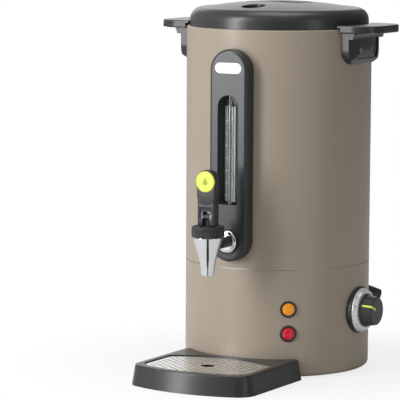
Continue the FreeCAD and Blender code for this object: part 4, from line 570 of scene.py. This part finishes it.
def soften(made, width_mm, angle=35.0, steps=2):
    """Round the sharp edges of a piece with a Bevel modifier."""
    bevel = made.modifiers.new("edges", "BEVEL")
    bevel.width = width_mm * MM
    bevel.segments = steps
    bevel.limit_method = "ANGLE"
    bevel.angle_limit = math.radians(angle)
    bevel.harden_normals = False
    return made


class UrnGaugeOperator(UrnOperator, bpy.types.Operator):
    """Level strip behind the sight tube, with its row of marks"""
    bl_idname = "urn.gauge"
    bl_label = "Level gauge"

    def build(self, context):
        low, high = low_corner("level_scale"), high_corner("level_scale")
        split = -high.x                              # right end of the grey strip
        thick, dark_wide, dot_step, dot_in = 0.5, 3.1, 15.2, 2.2
        dark_left = split - 0.5
        dark_right = dark_left + dark_wide
        # The dark strip is painted shade for the dark gap down the sight tube. The white strip lies
        # behind the tube and is also painted highlight for the tube's right side.
        for name, left, right, finish in (
                ("level_strip_grey", low.x + INSET, dark_left - INSET, "gauge_grey"),
                ("level_strip_painted_shade", dark_left, dark_right, "phenolic_black"),
                ("level_strip_white_and_painted_highlight", dark_right + INSET, high.x - INSET, "white_gloss")):
            strip = slab(left, right, low.z, high.z, 0, thick, 0.4, 0.1, 3, 2)
            moved(strip, TO_FRONT, shift(0, high.y, 0))
            piece(strip, name, finish, "urn", ["level_scale"] if finish == "gauge_grey" else ())
        dome = [(0, 0), (1.3, 0), (1.2, 0.2), (0.8, 0.3), (0, 0.32)]
        dots = []
        for number in range(int((high.z - low.z) / dot_step)):
            height = low.z + dot_step * (number + 0.5)
            dots.append(moved(turned(dome, steps=24, closed=False), TO_FRONT,
                              shift(low.x + dot_in, high.y - thick, height)))
        piece(joined(*dots), "level_dots", "white_gloss", "urn")


class UrnLampsOperator(UrnOperator, bpy.types.Operator):
    """Lamp lenses with their inner rings, and the stepped bezels around them"""
    bl_idname = "urn.lamps"
    bl_label = "Lamps"

    def build(self, context):
        lens_radius, lens_foot, lens_side, lens_rim = 7.6, -2.8, 0.6, 1.0
        dome = [(5.8, 1.6), (5.2, 2.1), (3.8, 2.7), (2.0, 3.1), (0, 3.2)]
        ring_bore, ring_radius, ring_foot, ring_rim = 7.75, 10.5, -0.4, 1.0
        rings = []
        for name, finish, slot in (("lamp_lens_amber", "amber_polycarbonate", "amber_lens"),
                                   ("lamp_lens_red", "red_polycarbonate", "red_lens")):
            centre = middle(name)
            turn = Matrix.Rotation(math.atan2(centre.y, centre.x), 4, "Z")
            lift = shift(math.hypot(centre.x, centre.y), 0, centre.z)
            outline = ([(0, lens_foot), (lens_radius, lens_foot), (lens_radius, lens_side)]
                       + arc(lens_radius - lens_rim, lens_side, lens_rim, 0, 80, 5) + dome)
            lens = moved(turned(outline, steps=64, closed=False), TO_RIGHT, lift, turn)
            piece(lens, name + "_domed", finish, "urn", [name], smooth=30)
            outline = ([(ring_bore, ring_foot), (ring_radius, ring_foot), (ring_radius, 0.9)]
                       + arc(ring_radius - ring_rim, 1.1, ring_rim, 0, 90, 5)
                       + [(8.9, 2.1), (8.2, 1.7), (ring_bore, 0.9)])
            rings.append(moved(turned(outline, steps=72), TO_RIGHT, lift, turn))
        piece(joined(*rings), "lamp_rings", "phenolic_black", "urn", ["lamp_bezels"],
              smooth=30)


class UrnDialOperator(UrnOperator, bpy.types.Operator):
    """Silver thermostat dial with its sloping rim, and the marks on it"""
    bl_idname = "urn.dial"
    bl_label = "Thermostat dial"

    def build(self, context):
        count = context.scene.urn_sizes.dial_marks
        low, high = low_corner("dial_ring"), high_corner("dial_ring")
        centre = middle("dial_ring")
        radius, thick = (high.z - low.z) / 2 - INSET, high.x - low.x
        bore, side, side_round, face_round = 3.2, 1.2, 0.5, 0.6
        face = radius - 2.4                          # where the flat front meets the slope
        outline = ([(bore, 0), (radius, 0), (radius, side)]
                   + arc(radius - side_round, side, side_round, 0, 60, 3)
                   + [(face + 0.3, thick - 0.5)]
                   + arc(face - 0.3, thick - face_round, face_round, 30, 90, 3) + [(bore, thick)])
        place = shift(low.x, centre.y, centre.z)
        ring = moved(turned(outline, steps=144), TO_RIGHT, place)
        piece(ring, "dial_silver", "silver_paint", "urn", ["dial_ring"], smooth=30)
        half_long, half_wide, mark_thick = 1.6, 0.35, 0.12
        first, sweep = -135, 270
        slope = math.atan2(radius - 0.2 - face, thick - 2.0)
        tilt = Matrix.Rotation(math.radians(90) - slope, 4, "Y")
        marks = []
        for number in range(count):
            angle = math.radians(first + sweep * number / (count - 1))
            mark = slab(-half_long, half_long, -half_wide, half_wide, 0, mark_thick, 0.2, 0, 3)
            marks.append(moved(mark, tilt, shift(radius - 1.05, 0, thick * 0.58),
                               Matrix.Rotation(angle, 4, "Z"), TO_RIGHT, place))
        piece(joined(*marks), "dial_marks", "ink_grey", "urn")


def bowed_outline(half, front, front_bow, front_corner, back, back_bow, back_corner):
    """Points of a plan outline with straight sides and bowed ends, in millimetres."""
    right = []
    for end, bow, corner, way in ((front, front_bow, front_corner, -1),
                                  (back, back_bow, back_corner, 1)):
        centre = end - way * bow
        across = half - corner
        pivot = centre + way * math.sqrt((bow - corner) ** 2 - across ** 2)
        last = math.degrees(math.atan2(pivot - centre, across))
        turn = arc(across, pivot, corner, 0, last, 8)
        bowed = arc(0, centre, bow, last, way * 90, 10)[1:]
        right.append(turn + bowed)
    points = right[1][::-1] + right[0]
    return points + [(-x, y) for x, y in points[::-1]]


def inside(outline, x, y):
    """Whether a point lies within a closed outline."""
    hits = 0
    for (x0, y0), (x1, y1) in zip(outline, outline[1:] + outline[:1]):
        if (y0 > y) != (y1 > y) and x < x0 + (y - y0) * (x1 - x0) / (y1 - y0):
            hits += 1
    return hits % 2 == 1


def plate_from(outline, low, high):
    """A flat plate with an outline, between two heights, in millimetres."""
    bm = bmesh.new()
    rim = bm.faces.new([bm.verts.new((x * MM, y * MM, low * MM)) for x, y in outline])
    grown = bmesh.ops.extrude_face_region(bm, geom=[rim])
    up = [item for item in grown["geom"] if isinstance(item, bmesh.types.BMVert)]
    bmesh.ops.translate(bm, verts=up, vec=(0, 0, (high - low) * MM))
    bmesh.ops.remove_doubles(bm, verts=bm.verts, dist=WELD)
    bmesh.ops.recalc_face_normals(bm, faces=bm.faces)
    return bm


class UrnGrilleOperator(UrnOperator, bpy.types.Operator):
    """Stainless drip grille with rows of short slots and a finger hole"""
    bl_idname = "urn.grille"
    bl_label = "Drip grille"

    def build(self, context):
        low, high = low_corner("drip_grille"), high_corner("drip_grille")
        thick = high.z - low.z
        centre_y = (low.y + high.y) / 2
        front_bow, front_corner, back_bow, back_corner = 180.0, 22.0, 140.0, 12.0
        hole, bare, border = 9, 14, 8
        columns, rows, pitch_x, pitch_y = 11, 6, 6.2, 9.4
        slot_half_wide, slot_half_long, slot_corner = 1.4, 2.9, 1.3
        rim = bowed_outline(high.x - INSET, low.y + INSET, front_bow, front_corner,
                            high.y - INSET, back_bow, back_corner)
        inner = bowed_outline(high.x - border, low.y + border, front_bow - border,
                              front_corner - border, high.y - border, back_bow - border, 5.0)
        cutters = [moved(rod(hole, -5, 5, 64), shift(0, centre_y, low.z))]
        for column in range(-columns, columns + 1):
            for row in range(-rows, rows + 1):
                x = column * pitch_x
                y = centre_y + row * pitch_y + (pitch_y / 2 if column % 2 else 0)
                if math.hypot(x, y - centre_y) < bare or not inside(inner, x, y):
                    continue
                cutters.append(slab(x - slot_half_wide, x + slot_half_wide, y - slot_half_long,
                                    y + slot_half_long, low.z - 1, high.z + 1, slot_corner, 0, 4))
        made = combined(plate_from(rim, low.z, high.z), joined(*cutters), "DIFFERENCE")
        done = piece(made, "grille_slotted", "stainless_brushed", "grille", ["drip_grille"],
                     smooth=30)
        soften(done, min(0.2, thick * 0.2), steps=1)


class UrnStageOperator(UrnOperator, bpy.types.Operator):
    """Pale floor, soft studio light and the camera"""
    bl_idname = "urn.stage"
    bl_label = "Stage"

    def build(self, context):
        scene = context.scene
        scene.view_settings.view_transform = "Standard"
        self.floor(scene)
        self.lights(scene)
        self.world(scene)
        self.camera(scene)

    def floor(self, scene):
        bm = bmesh.new()
        bmesh.ops.create_grid(bm, x_segments=8, y_segments=8, size=6.0)
        mesh = bpy.data.meshes.new("floor")
        bm.to_mesh(mesh)
        bm.free()
        floor = bpy.data.objects.new("floor", mesh)
        floor.location.z = -0.0002
        scene.collection.objects.link(floor)
        mesh.materials.append(self.floor_paper())

    def floor_paper(self):
        """White paper that is white to the eye, with a faint shade left near the urn."""
        material, tree = new_material("floor_paper")
        place = node(tree, "ShaderNodeTexCoord").outputs["Object"]
        fibre = node(tree, "ShaderNodeTexNoise", {"Vector": place, "Scale": 400.0})
        tint = node(tree, "ShaderNodeMix", {"Factor": fibre.outputs[0], MIX_A: grey(0.7),
                                            MIX_B: grey(0.74)}, data_type="RGBA")
        bare = self.off_painted_shade_strip(tree, place)
        # Painted shade: a near-black strip on the floor in front of the tap, for the spout to mirror
        # as a dark band
        paper = node(tree, "ShaderNodeMix", {"Factor": bare, MIX_A: grey(0.03),
                                             MIX_B: tint.outputs[MIX_RESULT]}, data_type="RGBA")
        matt = node(tree, "ShaderNodeBsdfDiffuse", {"Color": paper.outputs[MIX_RESULT]})
        glow = node(tree, "ShaderNodeEmission", {"Color": grey(1), "Strength": 1.0})
        seen = node(tree, "ShaderNodeLightPath")
        reach = node(tree, "ShaderNodeVectorMath", {0: place}, operation="LENGTH")
        clear = ramp(tree, reach.outputs["Value"], 0.18, 0.34, 0.8, 1.0)
        share = node(tree, "ShaderNodeMath", {0: seen.outputs["Is Camera Ray"], 1: clear},
                     operation="MULTIPLY")
        blend = node(tree, "ShaderNodeMixShader", {0: share.outputs[0], 1: matt.outputs[0],
                                                   2: glow.outputs[0]})
        node(tree, "ShaderNodeOutputMaterial", {"Surface": blend.outputs[0]})
        return material

    def off_painted_shade_strip(self, tree, place):
        """1 on bare paper, and 0 on a strip of painted shade in front of the tap, white to the
        camera and mirrored dark by the spout.
        """
        shade_strip_start, shade_strip_half, shade_strip_aside, soft = 0.34, 0.05, 0.085, 0.025
        ahead = along_way(tree, place, FRONT_RIGHT)
        aside = along_way(tree, place, BACK_RIGHT)
        shifted = node(tree, "ShaderNodeMath", {0: aside, 1: shade_strip_aside}, operation="ADD")
        width = node(tree, "ShaderNodeMath", {0: shifted.outputs[0]}, operation="ABSOLUTE")
        across = ramp(tree, width.outputs[0], shade_strip_half, shade_strip_half + soft, 0.0, 1.0)
        along = ramp(tree, ahead, shade_strip_start, 0.3, 0.0, 1.0)
        bare = node(tree, "ShaderNodeMath", {0: across, 1: along}, operation="MAXIMUM")
        return bare.outputs[0]

    def lights(self, scene):
        """Area lamps as name, place and size in metres, and power in watts."""
        for name, place, size, power in (("key", (-1.25, -2.2, 1.1), (0.6, 2.2), 54.0),
                                         ("fill", (2.5, -0.75, 0.6), (0.3, 1.8), 5.0),
                                         ("top", (0.0, 0.0, 2.4), (1.4, 1.4), 18.0),
                                         ("back", (-1.6, 2.2, 1.2), (1.8, 1.4), 8.0)):
            lamp = bpy.data.lights.new(name, "AREA")
            lamp.shape = "RECTANGLE"
            lamp.size, lamp.size_y = size
            lamp.energy = power
            thing = bpy.data.objects.new(name, lamp)
            thing.location = place
            aim = Vector((0, 0, 0.22)) - Vector(place)
            thing.rotation_euler = aim.to_track_quat("-Z", "Y").to_euler()
            scene.collection.objects.link(thing)

    def world(self, scene):
        """A studio paler on the key's side, and dark at its doorway to the front right."""
        pale_side = (-0.62, -0.75, 0.2)
        world = bpy.data.worlds.new("studio")
        world.use_nodes = True
        tree = world.node_tree
        tree.nodes.clear()
        seen = node(tree, "ShaderNodeLightPath")
        far = node(tree, "ShaderNodeMath", {0: seen.outputs["Is Camera Ray"],
                                            1: seen.outputs["Is Transmission Ray"]},
                   operation="MAXIMUM")
        place = node(tree, "ShaderNodeTexCoord").outputs["Generated"]
        level = ramp(tree, along_way(tree, place, pale_side), -1.0, 1.0, 0.07, 0.66)
        dark = ramp(tree, along_way(tree, place, FRONT_RIGHT), 0.88, 0.95, 1.0, 0.12)
        strength = node(tree, "ShaderNodeMath", {0: level, 1: dark}, operation="MULTIPLY")
        soft = node(tree, "ShaderNodeBackground", {"Color": grey(1),
                                                   "Strength": strength.outputs[0]})
        white = node(tree, "ShaderNodeBackground", {"Color": grey(1), "Strength": 1.0})
        blend = node(tree, "ShaderNodeMixShader", {0: far.outputs[0], 1: soft.outputs[0],
                                                   2: white.outputs[0]})
        node(tree, "ShaderNodeOutputWorld", {"Surface": blend.outputs[0]})
        scene.world = world

    def camera(self, scene):
        """The photograph's view: a long lens, above the middle of the urn and to its right."""
        azimuth, elevation, roll = (math.radians(angle) for angle in (28.355, 6.5, 0.287))
        middle_height, aim_right, aim_up = 0.230, -0.0986, -0.0226
        away = Vector((math.sin(azimuth) * math.cos(elevation),
                       -math.cos(azimuth) * math.cos(elevation), math.sin(elevation)))
        across = Vector((math.cos(azimuth), math.sin(azimuth), 0))
        centre = Vector((0, 0, middle_height))
        data = bpy.data.cameras.new("camera")
        data.lens = 234.83
        data.sensor_width = 36.0
        data.clip_end = 50.0
        camera = bpy.data.objects.new("camera", data)
        camera.location = centre + away * scene.urn_sizes.camera_distance
        aim = centre + across * aim_right + Vector((0, 0, aim_up))
        turn = (aim - camera.location).to_track_quat("-Z", "Y").to_matrix().to_4x4()
        camera.rotation_euler = (turn @ Matrix.Rotation(roll, 4, "Z")).to_euler()
        scene.collection.objects.link(camera)
        scene.camera = camera


class UrnPanel(bpy.types.Panel):
    """The urn's pieces, in the 3D view's sidebar"""
    bl_label = "Hot water urn"
    bl_idname = "VIEW3D_PT_urn"
    bl_space_type = "VIEW_3D"
    bl_region_type = "UI"
    bl_category = "Urn"

    def draw(self, context):
        for group in (context.scene.urn_colours, context.scene.urn_sizes):
            box = self.layout.box()
            for key in group.bl_rna.properties.keys():
                if key not in ("rna_type", "name"):
                    box.prop(group, key)
        for kind in BUILDERS:
            self.layout.operator(kind.bl_idname)


BUILDERS = (UrnStageOperator, UrnFinishesOperator, UrnCollarOperator, UrnSpoutOperator,
            UrnLeverOperator, UrnBadgeOperator, UrnGaugeOperator, UrnLampsOperator, UrnDialOperator,
            UrnGrilleOperator)
CLASSES = (UrnColours, UrnSizes) + BUILDERS + (UrnPanel,)


def register():
    for kind in CLASSES:
        bpy.utils.register_class(kind)
    bpy.types.Scene.urn_colours = PointerProperty(type=UrnColours)
    bpy.types.Scene.urn_sizes = PointerProperty(type=UrnSizes)


def unregister():
    del bpy.types.Scene.urn_sizes
    del bpy.types.Scene.urn_colours
    for kind in reversed(CLASSES):
        bpy.utils.unregister_class(kind)


def main():
    register()
    for kind in BUILDERS:
        group, name = kind.bl_idname.split(".")
        result = getattr(getattr(bpy.ops, group), name)()
        if result != {"FINISHED"}:
            raise RuntimeError(f"{kind.bl_label} didn't finish")


if __name__ == "__main__":
    main()
